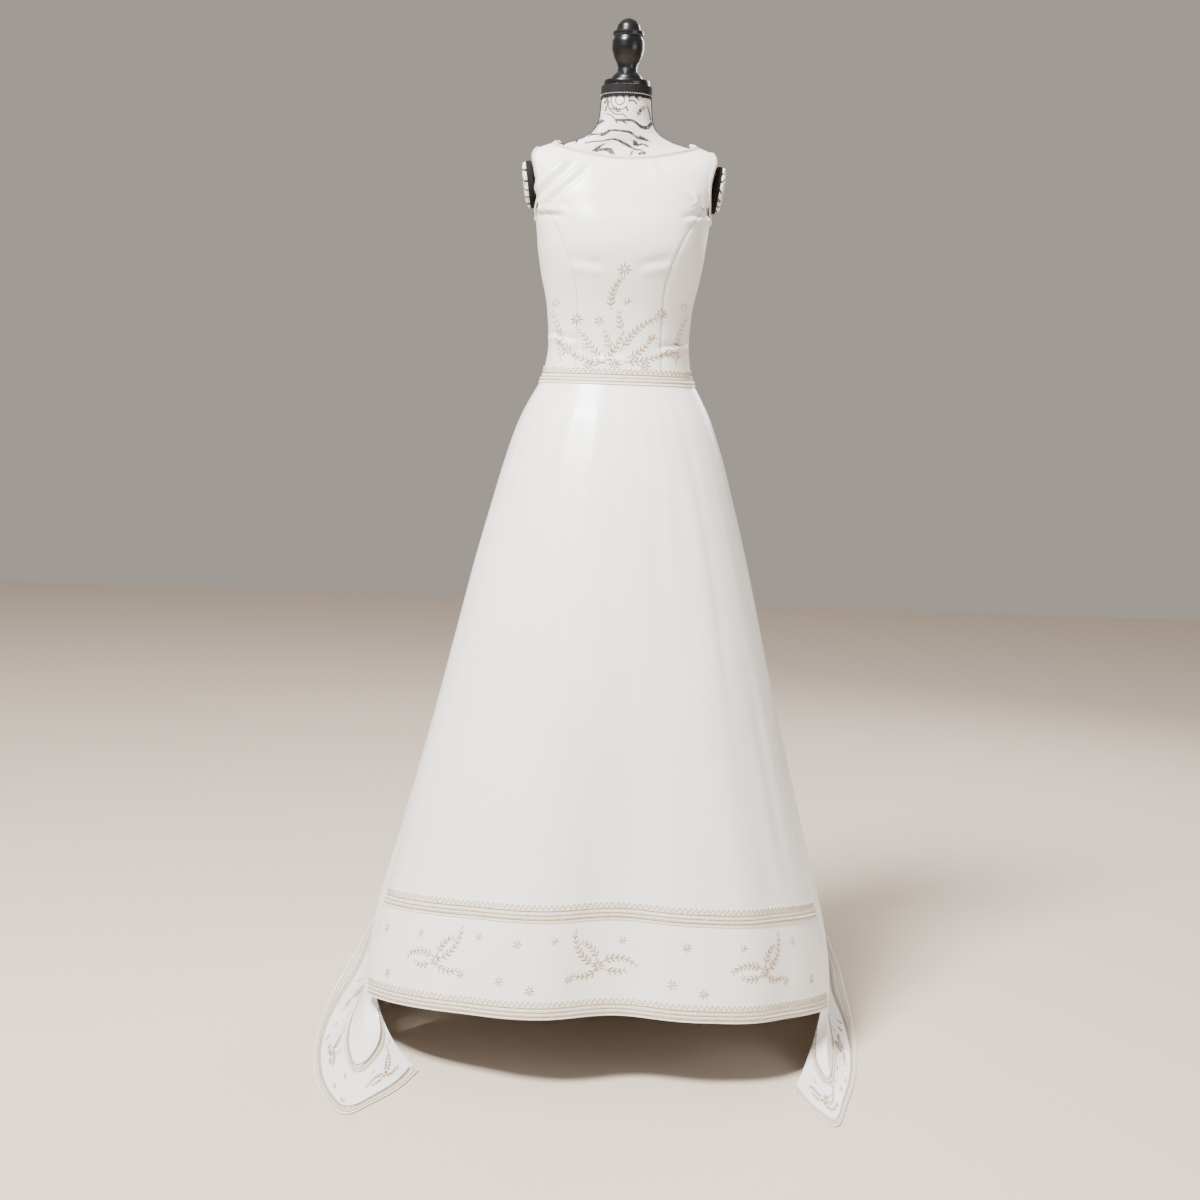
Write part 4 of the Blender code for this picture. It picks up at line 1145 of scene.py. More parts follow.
def make_braid(name, rows, layout, zigzag=True, edge=False, closed=False):
    """A ribbon through rows of (point, normal) on the cloth, with its cords and beads."""
    if closed:
        rows = [row + row[:1] for row in rows]
    lift = RIBBON + 0.25 * MM
    skin = [[point + normal * lift for point, normal in row] for row in rows]
    if closed:
        skin = [row[:-1] for row in skin]
    ribbon = add_skin(f"{name}_ribbon", skin, braid_ribbon, closed)
    length = sum((b[0] - a[0]).length for a, b in zip(rows[0], rows[0][1:]))
    thicken(ribbon, RIBBON)
    cords, beads = [], []
    for kind, share, size, spacing in layout:
        if kind == "cord":
            line = across_line(rows, share, lift + size * 0.5)
            cords.append(walk(line, spacing))
        else:
            line = across_line(rows, share, lift + size * 0.30)
            shape = (size, size * 0.92, size * 0.8)
            beads += [(p, n, h, shape) for p, n, h in walk(line, spacing)]
    if zigzag:
        low = walk(across_line(rows, ZIGZAG_LOW, lift), ZIGZAG_STEP)
        high = walk(across_line(rows, ZIGZAG_HIGH, lift), ZIGZAG_STEP)
        turns = [(low if k % 2 else high)[k] for k in range(min(len(low), len(high)))]
        bent = []
        for (a, normal, _), (b, _, _) in zip(turns, turns[1:]):
            bent.append((a, normal, (b - a).normalized()))
        cords.append(bent)
        shape = (0.0022, 0.0022, 0.0016)
        beads += [(p, n, h, shape) for p, n, h in turns[::2]]
    if edge:
        line = walk(across_line(rows, -0.02, lift * 0.5), PICOT_STEP / 2.0)
        shape = (EDGE_BEAD, EDGE_BEAD * 0.9, EDGE_BEAD * 0.8)
        beads += [(p, n, h, shape) for p, n, h in line]
    long_cords = [c for c in cords if len(c) > 2]
    with_pieces = [lay_cord(f"{name}_cords", long_cords, CORD_RADIUS, piping_cord, 5)]
    with_pieces.append(sew_down(f"{name}_beads", BEAD, beads, pearl))
    for piece in with_pieces:
        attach(piece, "root")
    return ribbon, length, with_pieces


def lattice_line(lattice, distance):
    """(point, normal) along a panel at a distance up from the hem, over band and skirt."""
    edge = HEM_BAND - SEAM_GAP / 2.0
    if distance <= edge:
        scaled = distance / edge * BAND_ROWS
        r = min(int(scaled), BAND_ROWS - 1)
        low, high, t = lattice["band"][r], lattice["band"][r + 1], scaled - r
    else:
        low, high = lattice["skirt"][0], lattice["skirt"][1]
        middle = len(low) // 2
        t = (distance - edge) / (high[middle][0] - low[middle][0]).length
    return [(a.lerp(b, t), m.lerp(n, t).normalized()) for (a, m), (b, n) in zip(low, high)]


BRAID_STEPS = 5
for name, lattice in lattices.items():
    for braid_name, low, high, node, edge in (
        ("hem", 0.0, BRAID_WIDTH, f"hem_braid_{name}", True),
        ("band", HEM_BAND - BRAID_WIDTH / 2, HEM_BAND + BRAID_WIDTH / 2, f"band_braid_{name}", True),
    ):
        rows = [lattice_line(lattice, far) for far in steps(low, high, BRAID_STEPS)]
        made = make_braid(f"{braid_name}_braid_{name}", rows, BRAID_LAYOUT, True, edge)
        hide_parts(node)
        declare_sheet(made[0], made[1] * 1.02, BRAID_WIDTH,
                      made[2])
print("hem and band braids made")


# %% [markdown]
# The belt is the same braid as on the hem, closed in a ring over the waist seam.

# %% Waist braid
def waist_row(level, columns=160):
    """The belt's line at a level from -1, its foot on the skirt, to 1, its top on the bodice."""
    half = BRAID_WIDTH / 2.0
    row = []
    for k in range(columns):
        turn = round(-2.0 + 4.0 * k / columns, 6)
        middle = bodice_point(turn, WAIST_MARK, SATIN)
        normal = form_normal(turn, WAIST_MARK)
        if level >= 0.0:
            high = bodice_point(turn, WAIST_MARK + half, SATIN)
            row.append((middle.lerp(high, level) + normal * 0.8 * MM, normal))
        else:
            total = skirt_curve(turn)[1][-1]
            low, low_normal = skirt_place(turn, total - half)
            low = low + low_normal * SATIN
            seat = normal.lerp(low_normal, -level).normalized()
            row.append((middle.lerp(low, -level) + seat * 0.8 * MM, seat))
    return row


rows = [waist_row(level) for level in (-1.0, -0.5, 0.0, 0.5, 1.0)]
belt, belt_length, belt_pieces = make_braid("waist_braid", rows, BRAID_LAYOUT, True, True, True)
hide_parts("waist_braid")
declare_sheet(belt, belt_length * 1.03, BRAID_WIDTH,
              belt_pieces)
print("belt", round(belt_length, 3), "m round")

# %% [markdown]
# A narrow beaded braid binds the neck and each armhole. Its ring is found by walking round
# the opening on the bodice, so that it follows the edge all the way.

# %% Neck and armhole edges
NARROW_CUT = 0.0102
NARROW_LAYOUT = (
    ("cord", 0.30, 0.0007, 0.0035),
    ("bead", 0.62, 0.0024, 0.0034),
    ("bead", 1.00, 0.0019, 0.0040),
)


def neck_ring(distance):
    """(point, normal) round the neckline, so far below its edge."""
    places = [front_place(k, 1.0) for k in steps(-1.0, 1.0, 72)]
    left = [back_place(k, 1.0) for k in steps(0.0, 1.0, 48)]
    right = [(-turn, mark) for turn, mark in left[::-1]]
    ring = []
    for turn, mark in places + left[1:] + right[1:-1]:
        mark -= distance
        ring.append((on_bodice(turn, mark), form_normal(turn, mark)))
    return ring


rows = [neck_ring(NECK_BRAID_WIDTH * (1.0 - share)) for share in (0.0, 0.5, 0.96)]
made = make_braid("neck_braid", rows, NARROW_LAYOUT, False, False, True)
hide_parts("neck_braid")
declare_sheet(made[0], made[1] * 1.02, NARROW_CUT,
              made[2])


def armhole_ring(side, distance, count=40):
    """(point, normal) round an armhole, so far out from its edge."""
    marks = [
        UNDERARM_MARK + (TIP_MARK - UNDERARM_MARK) * (1.0 - math.cos(math.pi * k / count)) / 2.0
        for k in range(count + 1)
    ]
    edge = [(armhole_front(mark), mark) for mark in marks]
    edge += [(armhole_back(mark), mark) for mark in marks[-2:0:-1]]
    middle = (UNDERARM_MARK + TIP_MARK) / 2.0
    ring = []
    for turn, mark in edge:
        beside = turn - armhole_middle(mark)
        rise = (mark - middle) / (TIP_MARK - middle)
        away = Vector((beside / ARMHOLE_HALF_TURN, rise)).normalized()
        row = form_row(round(mark, 7))
        turn += distance * away.x / (QUARTER_SHARE * (row[1] + row[2]))
        mark += distance * away.y
        ring.append((on_bodice(side * turn, mark), form_normal(side * turn, mark)))
    return ring if side > 0 else ring[::-1]


for side, name in ((1, "left"), (-1, "right")):
    rows = [armhole_ring(side, ARMHOLE_BRAID_WIDTH * share) for share in (0.06, 0.5, 1.0)]
    made = make_braid(f"armhole_braid_{name}", rows, NARROW_LAYOUT, False, False, True)
    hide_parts(f"armhole_braid_{name}")
    declare_sheet(made[0], made[1] * 1.05, NARROW_CUT,
                  made[2])
print("neck and armhole edges made")

# %% [markdown]
# The embroidery is ordinary vines and star flowers in beige thread with pearls. A vine is a
# curve drawn on the cloth with a pair of leaves at each step, smaller towards its tip. A star
# flower is a ring of petals round a pearl. Each is laid out in metres, across and up, and a
# place function puts it on the bodice or on the hem band.

# %% Vines and star flowers
THREAD_HEIGHT = 1.8 * MM
LEAF_SPLAY = math.radians(40.0)


def seat_at(place, across, up, heading, size):
    """A seat on the cloth with its heading as an angle from across towards up."""
    here, normal = place(across, up)
    ahead, _ = place(across + math.cos(heading) * MM, up + math.sin(heading) * MM)
    return here, normal, (ahead - here).normalized(), size


def vine(place, start, heading, length, curl, leaf=0.0118, step=0.0088):
    """(stem, leaves, pearls) of a vine. curl is its turning in degrees for each centimetre."""
    across, up = start
    heading = math.radians(heading)
    count = max(int(length / step), 2)
    stem, leaves, pearls = [], [], []
    for k in range(count + 1):
        share = k / count
        stem.append(seat_at(place, across, up, heading, None)[:3])
        size = leaf * (1.0 - 0.45 * share)
        if 0 < k:
            for hand in (1.0, -1.0):
                angle = heading + hand * LEAF_SPLAY
                middle = (across + math.cos(angle) * size * 0.6, up + math.sin(angle) * size * 0.6)
                shape = (size, size * 0.23, THREAD_HEIGHT)
                leaves.append(seat_at(place, *middle, angle, shape))
        across += math.cos(heading) * step
        up += math.sin(heading) * step
        heading += math.radians(curl * step * 100.0)
    pearls.append(seat_at(place, across, up, heading, (0.0030, 0.0030, 0.0022)))
    return stem, leaves, pearls


def star(place, across, up, radius=0.0095, petals=8, turned=0.0):
    """(petals, pearls) of a star flower."""
    leaves, pearls = [], [seat_at(place, across, up, 0.0, (0.0034, 0.0034, 0.0028))]
    for k in range(petals):
        angle = turned + 2.0 * math.pi * k / petals
        middle = (across + math.cos(angle) * radius * 0.58, up + math.sin(angle) * radius * 0.58)
        shape = (radius * 0.86, radius * 0.19, THREAD_HEIGHT)
        leaves.append(seat_at(place, *middle, angle, shape))
        tip = (across + math.cos(angle) * radius * 1.08, up + math.sin(angle) * radius * 1.08)
        if k % 2 == 0:
            pearls.append(seat_at(place, *tip, angle, (0.0018, 0.0018, 0.0015)))
    return leaves, pearls


def embroider(name, vines, stars):
    """Makes the stems, leaves and pearls of one piece of embroidery."""
    stems = [stem for stem, _, _ in vines]
    leaves = [leaf for _, row, _ in vines for leaf in row]
    leaves += [leaf for row, _ in stars for leaf in row]
    pearls = [bead for _, _, row in vines for bead in row] + [b for _, row in stars for b in row]
    pieces = [
        lay_cord(f"{name}_stems", stems, 0.55 * MM, vine_thread, 5),
        sew_down(f"{name}_leaves", LEAF, leaves, vine_thread),
        sew_down(f"{name}_pearls", BEAD, pearls, pearl),
    ]
    for piece in pieces:
        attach(piece, "root")
    return len(leaves)


# %% [markdown]
# The sprays rise from the belt in rows of short strokes, with star flowers at their ends.
# The tables place each vine by its start, heading, length and curl. A fine dark beige cord lies in
# the princess and side seams. It is painted shade, standing for the thin shaded line along each seam.

# %% Embroidery on the bodice
FRONT_REACH = 0.119


def bodice_front_place(across, up):
    """A place on the front by its distance from the middle and its height over the belt."""
    mark = WAIST_MARK + up
    turn = math.copysign(turn_at_across(min(abs(across), FRONT_REACH), mark), across)
    return on_bodice(turn, mark, 0.2 * MM), form_normal(turn, mark)


def bodice_back_place(across, up):
    """The same on the back."""
    mark = WAIST_MARK + up
    row = form_row(round(mark, 7))
    turn = 2.0 - across / (QUARTER_SHARE * (row[1] + row[3]))
    return on_bodice(turn, mark, 0.2 * MM), form_normal(turn, mark)


# Columns: across, up, heading, length, curl
BODICE_VINES = (
    (-0.028, 0.022, 48.0, 0.066, 4.0),
    (0.008, 0.078, 120.0, 0.044, -10.0),
    (-0.014, 0.116, 102.0, 0.062, -10.0),
    (0.004, 0.048, 64.0, 0.080, -5.0),
    (-0.030, 0.026, 116.0, 0.070, 3.0),
    (-0.012, 0.044, 112.0, 0.044, -2.0),
    (0.014, 0.034, 22.0, 0.054, 9.0),
    (-0.022, 0.024, 178.0, 0.066, -5.0),
    (0.010, 0.026, 2.0, 0.072, 4.0),
    (0.098, 0.024, 96.0, 0.092, -4.0),
    (0.094, 0.050, 56.0, 0.026, 8.0),
    (-0.098, 0.024, 84.0, 0.092, 4.0),
    (-0.094, 0.048, 124.0, 0.026, -8.0),
)
# Columns: across, up, radius, petals
BODICE_STARS = (
    (0.006, 0.188, 0.0125, 8),
    (0.012, 0.134, 0.0080, 6),
    (0.070, 0.114, 0.0110, 8),
    (-0.072, 0.100, 0.0115, 8),
    (-0.034, 0.098, 0.0100, 7),
    (0.056, 0.072, 0.0090, 7),
    (-0.006, 0.022, 0.0115, 8),
    (-0.056, 0.052, 0.0080, 6),
    (0.046, 0.020, 0.0095, 8),
    (-0.050, 0.019, 0.0095, 8),
    (0.084, 0.046, 0.0095, 8),
    (-0.086, 0.046, 0.0095, 8),
    (0.108, 0.128, 0.0085, 7),
    (-0.108, 0.128, 0.0085, 7),
)


def bodice_embroidery(name, place):
    vines = [vine(place, (x, y), heading, length, curl) for x, y, heading, length, curl in BODICE_VINES]
    stars = [star(place, *row[:3], row[3]) for row in BODICE_STARS]
    return embroider(name, vines, stars)


def seam_run(place, share, side):
    """The line of a seam from the belt to its top, as a cord's seats."""
    places = [place(share, r / FINE_ROWS) for r in range(FINE_ROWS + 1)]
    line = [(on_bodice(side * t, m, -SEAM_TUCK), form_normal(side * t, m)) for t, m in places]
    ahead = [(b - a).normalized() for (a, _), (b, _) in zip(line, line[1:])]
    return [(p, n, d) for (p, n), d in zip(line, ahead + ahead[-1:])]


# The seam cords' darker beige is painted shade: it stands for the shaded line along each seam.
SEAM_SHADE_RADIUS = 0.5 * MM
seam_shade_thread = thread_finish("seam_shade_thread", (0.34, 0.29, 0.23, 1.0), (0.50, 0.44, 0.36, 1.0))
seam_runs = [seam_run(front_place, 1.0, side) for side in (1, -1)]
seam_runs += [seam_run(side_front_place, 1.0, side) for side in (1, -1)]
seams = lay_cord("seam_shade_threads", seam_runs, SEAM_SHADE_RADIUS, seam_shade_thread, 5)
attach(seams, "root")
print("front leaves:", bodice_embroidery("bodice_front_work", bodice_front_place))
print("back leaves:", bodice_embroidery("bodice_back_work", bodice_back_place))

# %% [markdown]
# One motif of five vines is repeated along the band, mirrored each time, with loose
# stars between. A place on the band is found by metres along it and up from its lower edge.

# %% Embroidery on the hem band
MOTIF_UP = 0.078
MOTIF_VINES = (
    (0.004, 0.002, 24.0, 0.074, 10.0),
    (-0.004, 0.004, 150.0, 0.066, 12.0),
    (0.002, 0.006, 82.0, 0.046, -16.0),
    (0.000, -0.004, -40.0, 0.044, 16.0),
    (-0.008, -0.004, 205.0, 0.040, -14.0),
)
MOTIF_STARS = (
    (0.000, 0.000, 0.0110, 8),
    (0.050, -0.018, 0.0080, 7),
    (-0.040, 0.040, 0.0075, 6),
    (0.076, 0.044, 0.0070, 6),
)
LOOSE_STARS = ((-0.138, 0.038), (-0.112, -0.034), (0.122, -0.022))
MOTIF_PITCH = 0.285
MOTIF_LEAF = 0.0112
MOTIF_STEP = 0.0086
LOOSE_STAR_RADIUS = 0.0088


def band_place_from(lattice):
    """Places on a hem band by metres along it from the lattice's first column."""
    middle = lattice_line(lattice, MOTIF_UP)
    along = [0.0]
    for (a, _), (b, _) in zip(middle, middle[1:]):
        along.append(along[-1] + (b - a).length)

    def place(across, up):
        across = min(max(across, 0.0), along[-1])
        low, high = 0, len(along) - 1
        while high - low > 1:
            half = (low + high) // 2
            if along[half] <= across:
                low = half
            else:
                high = half
        t = (across - along[low]) / (along[high] - along[low])
        scaled = min(max(up / (HEM_BAND - SEAM_GAP / 2.0), 0.0), 1.0) * BAND_ROWS
        r = min(int(scaled), BAND_ROWS - 1)
        s = scaled - r
        corners = [lattice["band"][r + i][low + j] for i in (0, 1) for j in (0, 1)]
        (a, m), (b, n), (c, o), (d, q) = corners
        point = a.lerp(b, t).lerp(c.lerp(d, t), s)
        normal = m.lerp(n, t).lerp(o.lerp(q, t), s).normalized()
        return point + normal * 0.3 * MM, normal

    return place, along[-1]


def band_embroidery(name, lattice, first):
    place, length = band_place_from(lattice)
    vines, stars = [], []
    count = int((length - first) / MOTIF_PITCH + 0.7)
    for k in range(count):
        middle = first + k * MOTIF_PITCH
        hand = -1.0 if k % 2 else 1.0
        for x, y, heading, reach, curl in MOTIF_VINES:
            start = (middle + hand * x, MOTIF_UP + y)
            angle = heading if hand > 0 else 180.0 - heading
            vines.append(vine(place, start, angle, reach, hand * curl, MOTIF_LEAF, MOTIF_STEP))
        for x, y, radius, petals in MOTIF_STARS:
            stars.append(star(place, middle + hand * x, MOTIF_UP + y, radius, petals))
        for x, y in LOOSE_STARS:
            if 0.02 < middle + x < length - 0.02:
                stars.append(star(place, middle + x, MOTIF_UP + y, LOOSE_STAR_RADIUS, 7))
    return embroider(f"hem_work_{name}", vines, stars)


front_length = band_place_from(lattices["front"])[1]
print("front band:", round(front_length, 3), "m,",
      band_embroidery("front", lattices["front"], front_length / 2.0 - MOTIF_PITCH), "leaves")
for name in ("back_left", "back_right"):
    print(name, band_embroidery(name, lattices[name], 0.12), "leaves")

# %% [markdown]
# Nine covered buttons close a lap down the centre back. A covered button is a domed disc with
# its satin drawn round the rim. One is shaped from a cylinder: its rim is bevelled and its
# top raised, and each of the nine is its own copy, set on the lap.

# %% Back lap and buttons
BUTTON_RADIUS = 0.0055
BUTTON_HEIGHT = 0.0034
BUTTONS = 9
LAP_WIDTH = 0.016
LAP_THICKNESS = 1.5 * MM
LAP_LIFT = 1.0 * MM
lap_top = station(NECK_BACK) - NECK_BRAID_WIDTH - 0.003
lap_low = WAIST_MARK + BRAID_WIDTH / 2.0 + 0.003
rows = []
for mark in steps(lap_low, lap_top, 60):
    row = form_row(round(mark, 7))
    half = LAP_WIDTH / 2.0 / (QUARTER_SHARE * (row[1] + row[3]))
    lift = LAP_LIFT + LAP_THICKNESS
    rows.append([on_bodice(2.0 + half * k / 4.0, mark, lift) for k in range(-4, 5)])
lap = add_skin("satin_lap", rows, satin_cloth)
thicken(lap, LAP_THICKNESS)
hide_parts("back_placket")
declare_sheet(lap, LAP_WIDTH, 0.40)

deselect()
bpy.ops.mesh.primitive_cylinder_add(vertices=32, radius=BUTTON_RADIUS, depth=BUTTON_HEIGHT)
button = bpy.context.object
bpy.ops.object.mode_set(mode="EDIT")
bpy.ops.mesh.select_all(action="SELECT")
bpy.ops.mesh.bevel(offset=1.2 * MM, segments=4, affect="EDGES")
bpy.ops.object.mode_set(mode="OBJECT")
for corner in button.data.vertices:
    if corner.co.z > 0.0:
        reach = math.hypot(corner.co.x, corner.co.y) / BUTTON_RADIUS
        corner.co.z += 0.6 * MM * (1.0 - min(reach, 1.0) ** 2)
button.data.shade_smooth()
button.data.materials.append(satin_cloth)
for k in range(BUTTONS):
    mark = lap_low + 0.012 + (lap_top - lap_low - 0.024) * k / (BUTTONS - 1)
    normal = form_normal(2.0, mark)
    seat = LAP_LIFT + LAP_THICKNESS + SEAM_GAP + BUTTON_HEIGHT / 2.0
    place = Matrix.Translation(bodice_point(2.0, mark, SATIN + seat))
    turn = Vector((0.0, 0.0, 1.0)).rotation_difference(normal).to_matrix().to_4x4()
    copy = bpy.data.objects.new(f"covered_button_{k + 1}", button.data.copy())
    copy.data.transform(place @ turn)
    bpy.context.scene.collection.objects.link(copy)
    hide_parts(f"button_{k + 1}")
    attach(copy, "root")
bpy.data.objects.remove(button, do_unlink=True)
print("buttons:", BUTTONS)

# %% [markdown]
# The form is padded and covered with printed cotton. The print on it is a plain ink design of
# this script's own: scrolls, rings and flecks in black on pale linen. Rings come from the
# distance to scattered points, scrolls from a bent band pattern, and a slow noise decides
# where each of them shows.

# %% Printed cover
def cover_finish():
    made = plain_finish("printed_cover", (0.74, 0.70, 0.68), 0.85)
    nodes, links = made.node_tree.nodes, made.node_tree.links
    shader = nodes["Principled BSDF"]
    place = nodes.new("ShaderNodeTexCoord")

    def math_node(kind, a, b):
        made_node = nodes.new("ShaderNodeMath")
        made_node.operation = kind
        for socket, value in zip(made_node.inputs, (a, b)):
            if hasattr(value, "links"):
                links.new(value, socket)
            else:
                socket.default_value = value
        return made_node.outputs[0]

    def speckle(scale, detail=2.0):
        made_node = nodes.new("ShaderNodeTexNoise")
        made_node.inputs["Scale"].default_value = scale
        made_node.inputs["Detail"].default_value = detail
        links.new(place.outputs["Object"], made_node.inputs["Vector"])
        return made_node.outputs["Fac"]

    rings = nodes.new("ShaderNodeTexVoronoi")
    rings.inputs["Scale"].default_value = 26.0
    links.new(place.outputs["Object"], rings.inputs["Vector"])
    ring_lines = math_node("LESS_THAN", math_node("PINGPONG", rings.outputs["Distance"], 0.11), 0.026)
    ring_lines = math_node("MULTIPLY", ring_lines, math_node("GREATER_THAN", speckle(9.0), 0.49))
    scrolls = nodes.new("ShaderNodeTexWave")
    scrolls.wave_type = "RINGS"
    scrolls.inputs["Scale"].default_value = 16.0
    scrolls.inputs["Distortion"].default_value = 9.0
    scrolls.inputs["Detail"].default_value = 1.0
    links.new(place.outputs["Object"], scrolls.inputs["Vector"])
    scroll_lines = math_node("GREATER_THAN", scrolls.outputs["Fac"], 0.88)
    scroll_lines = math_node("MULTIPLY", scroll_lines, math_node("LESS_THAN", speckle(11.0), 0.52))
    flecks = math_node("GREATER_THAN", speckle(75.0, 4.0), 0.66)
    flecks = math_node("MULTIPLY", flecks, math_node("GREATER_THAN", speckle(20.0), 0.54))
    ink = math_node("MAXIMUM", math_node("MAXIMUM", ring_lines, scroll_lines), flecks)
    worn = math_node("MULTIPLY", ink, math_node("ADD", speckle(160.0), 0.45))
    mix = nodes.new("ShaderNodeMix")
    mix.data_type = "RGBA"
    mix.inputs[6].default_value = (0.74, 0.695, 0.675, 1.0)
    mix.inputs[7].default_value = (0.025, 0.024, 0.026, 1.0)
    links.new(worn, mix.inputs[0])
    links.new(mix.outputs[2], shader.inputs["Base Color"])
    grain(nodes, links, shader, 1100.0, 0.35, 0.3 * MM)
    return made


def lacquer_finish():
    made = plain_finish("black_lacquer", (0.004, 0.004, 0.005), 0.28)
    nodes, links = made.node_tree.nodes, made.node_tree.links
    shader = nodes["Principled BSDF"]
    shader.inputs["Coat Weight"].default_value = 0.2
    shader.inputs["Coat Roughness"].default_value = 0.12
    shader.inputs["Specular IOR Level"].default_value = 0.3
    glossy, matt = (0.22, 0.22, 0.22, 1.0), (0.40, 0.40, 0.40, 1.0)
    shaded(nodes, links, shader.inputs["Roughness"], 40.0, glossy, matt)
    grain(nodes, links, shader, 60.0, 0.15, 0.4 * MM)
    return made


def ribbon_finish():
    made = plain_finish("black_lace", (0.004, 0.004, 0.004), 0.80)
    nodes, links = made.node_tree.nodes, made.node_tree.links
    shader = nodes["Principled BSDF"]
    shader.inputs["Sheen Weight"].default_value = 0.02
    shader.inputs["Specular IOR Level"].default_value = 0.2
    dark, light = (0.002, 0.002, 0.002, 1.0), (0.010, 0.010, 0.010, 1.0)
    shaded(nodes, links, shader.inputs["Base Color"], 420.0, dark, light)
    grain(nodes, links, shader, 800.0, 0.8, 0.6 * MM)
    return made


def steel_finish():
    made = plain_finish("dark_steel_paint", (0.10, 0.10, 0.11), 0.45, 0.6)
    nodes, links = made.node_tree.nodes, made.node_tree.links
    shader = nodes["Principled BSDF"]
    low, high = (0.36, 0.36, 0.36, 1.0), (0.55, 0.55, 0.55, 1.0)
    shaded(nodes, links, shader.inputs["Roughness"], 60.0, low, high)
    return made


printed_cover = cover_finish()
black_lacquer = lacquer_finish()
black_lace = ribbon_finish()
dark_steel = steel_finish()

skin_turns = [-2.0 + 4.0 * k / 128 for k in range(128)]
skin_marks = steps(0.0, FORM_MARKS[-1], 160)
rows = []
for mark in skin_marks:
    rows.append([form_point(t, mark) - form_normal(t, mark) * SKIN_INSET for t in skin_turns])
cover = add_skin("cover_torso", rows, printed_cover, True)
deselect()
bpy.context.view_layer.objects.active = cover
cover.select_set(True)
bpy.ops.object.mode_set(mode="EDIT")
bpy.ops.mesh.select_all(action="SELECT")
bpy.ops.mesh.fill_holes(sides=0)
bpy.ops.object.mode_set(mode="OBJECT")
cover.select_set(False)
del cover["cut_area"]
cover.data.set_sharp_from_angle(angle=math.radians(50.0))
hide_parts("form_torso")
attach(cover, "root")
print("torso faces:", len(cover.data.polygons))

# %% [markdown]
# A few plain leafy sprigs are printed in black over the finish, round the neck and shoulders.
# They are thin shapes made with the same vine as the embroidery.

# %% Ink sprigs on the cover
INK_HEIGHT = 0.35 * MM
SPRIG_LEAF = 0.0075
SPRIG_STEP = 0.0052
# Columns: turn, height, heading, length, curl
SPRIGS = (
    (0.10, 1.556, 60.0, 0.034, 16.0),
    (0.42, 1.566, 150.0, 0.030, -20.0),
    (-0.30, 1.548, 100.0, 0.036, -14.0),
    (-0.52, 1.572, 30.0, 0.026, 18.0),
    (0.28, 1.606, 75.0, 0.030, -24.0),
    (-0.10, 1.612, 140.0, 0.028, 20.0),
    (-0.62, 1.612, 80.0, 0.028, -18.0),
    (0.80, 1.600, 95.0, 0.032, 16.0),
    (1.30, 1.590, 80.0, 0.032, -16.0),
    (1.70, 1.575, 120.0, 0.034, 14.0),
    (-1.85, 1.590, 60.0, 0.034, -14.0),
    (-1.35, 1.600, 100.0, 0.030, 18.0),
)


def sprig_place(turn, height):
    """Places on the cover by metres across and up from a turn and height."""
    base = station(height)
    row = form_row(round(base, 7))

    def place(across, up):
        here = turn + across / (QUARTER_SHARE * (row[1] + (row[2] + row[3]) / 2.0))
        mark = min(base + up, FORM_MARKS[-1] - 0.022)
        normal = form_normal(here, mark)
        return form_point(here, mark) - normal * (SKIN_INSET - 0.3 * MM), normal

    return place


ink_leaves, ink_stems = [], []
for turn, height, heading, length, curl in SPRIGS:
    place = sprig_place(turn, height)
    stem, leaves, _ = vine(place, (0.0, 0.0), heading, length, curl, SPRIG_LEAF, SPRIG_STEP)
    ink_stems.append(stem)
    ink_leaves += [(p, n, h, (size[0], size[1] * 1.5, INK_HEIGHT)) for p, n, h, size in leaves]
ink_black = plain_finish("print_ink", (0.022, 0.021, 0.023), 0.85)
for piece in (
    lay_cord("ink_stems", ink_stems, 0.35 * MM, ink_black, 5),
    sew_down("ink_leaves", LEAF, ink_leaves, ink_black),
):
    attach(piece, "root")
print("ink sprigs:", len(SPRIGS))

# %% [markdown]
# Black lace binds the top of the neck, and black piping covers the side seams. Each arm
# ends in a flat ring and a domed plate, turned from a short profile of radius and height.

# %% Lace band, seam piping and arm plates
LACE_LOW, LACE_HIGH = 1.6425, 1.6635
SCALLOPS = 22
rows = []
for share in steps(0.0, 1.0, 8):
    row = []
    for k in range(264):
        turn = -2.0 + 4.0 * k / 264
        dip = 1.6 * MM * abs(math.sin(math.pi * SCALLOPS * (turn + 2.0) / 4.0)) * (1.0 - share)
        mark = station(LACE_LOW + (LACE_HIGH - LACE_LOW) * share) - dip
        point = form_point(turn, mark)
        row.append(point + Vector((point.x, point.y, 0.0)).normalized() * 0.2 * MM)
    rows.append(row)
lace = add_skin("lace_band", rows, black_lace, True)
thicken(lace, 1.4 * MM)
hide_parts("form_neck_ribbon")
declare_sheet(lace, 0.290, 0.022)

stitch_line = []
for k in range(265):
    point = form_point(-2.0 + 4.0 * k / 264, station(1.6475))
    out = Vector((point.x, point.y, 0.0)).normalized()
    stitch_line.append((point + out * 0.4 * MM, out))
stitches = [(p, n, h, (0.0026, 0.0011, 0.0009)) for p, n, h in walk(stitch_line, 0.0046)]
white_thread = plain_finish("white_thread", (0.8, 0.79, 0.77), 0.6)
white_stitches = sew_down("lace_stitches", BEAD, stitches, white_thread)
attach(white_stitches, "root")

PIPING_RADIUS = 1.3 * MM
piping_lines = []
for side in (1.0, -1.0):
    line = []
    for mark in steps(station(1.556), station(1.643), 60):
        normal = form_normal(side, mark)
        line.append((form_point(side, mark) - normal * (SKIN_INSET - 0.4 * MM), normal))
    piping_lines.append(walk(line, 0.002))
piping = lay_cord("cover_piping", piping_lines, PIPING_RADIUS, black_lace, 8)
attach(piping, "root")

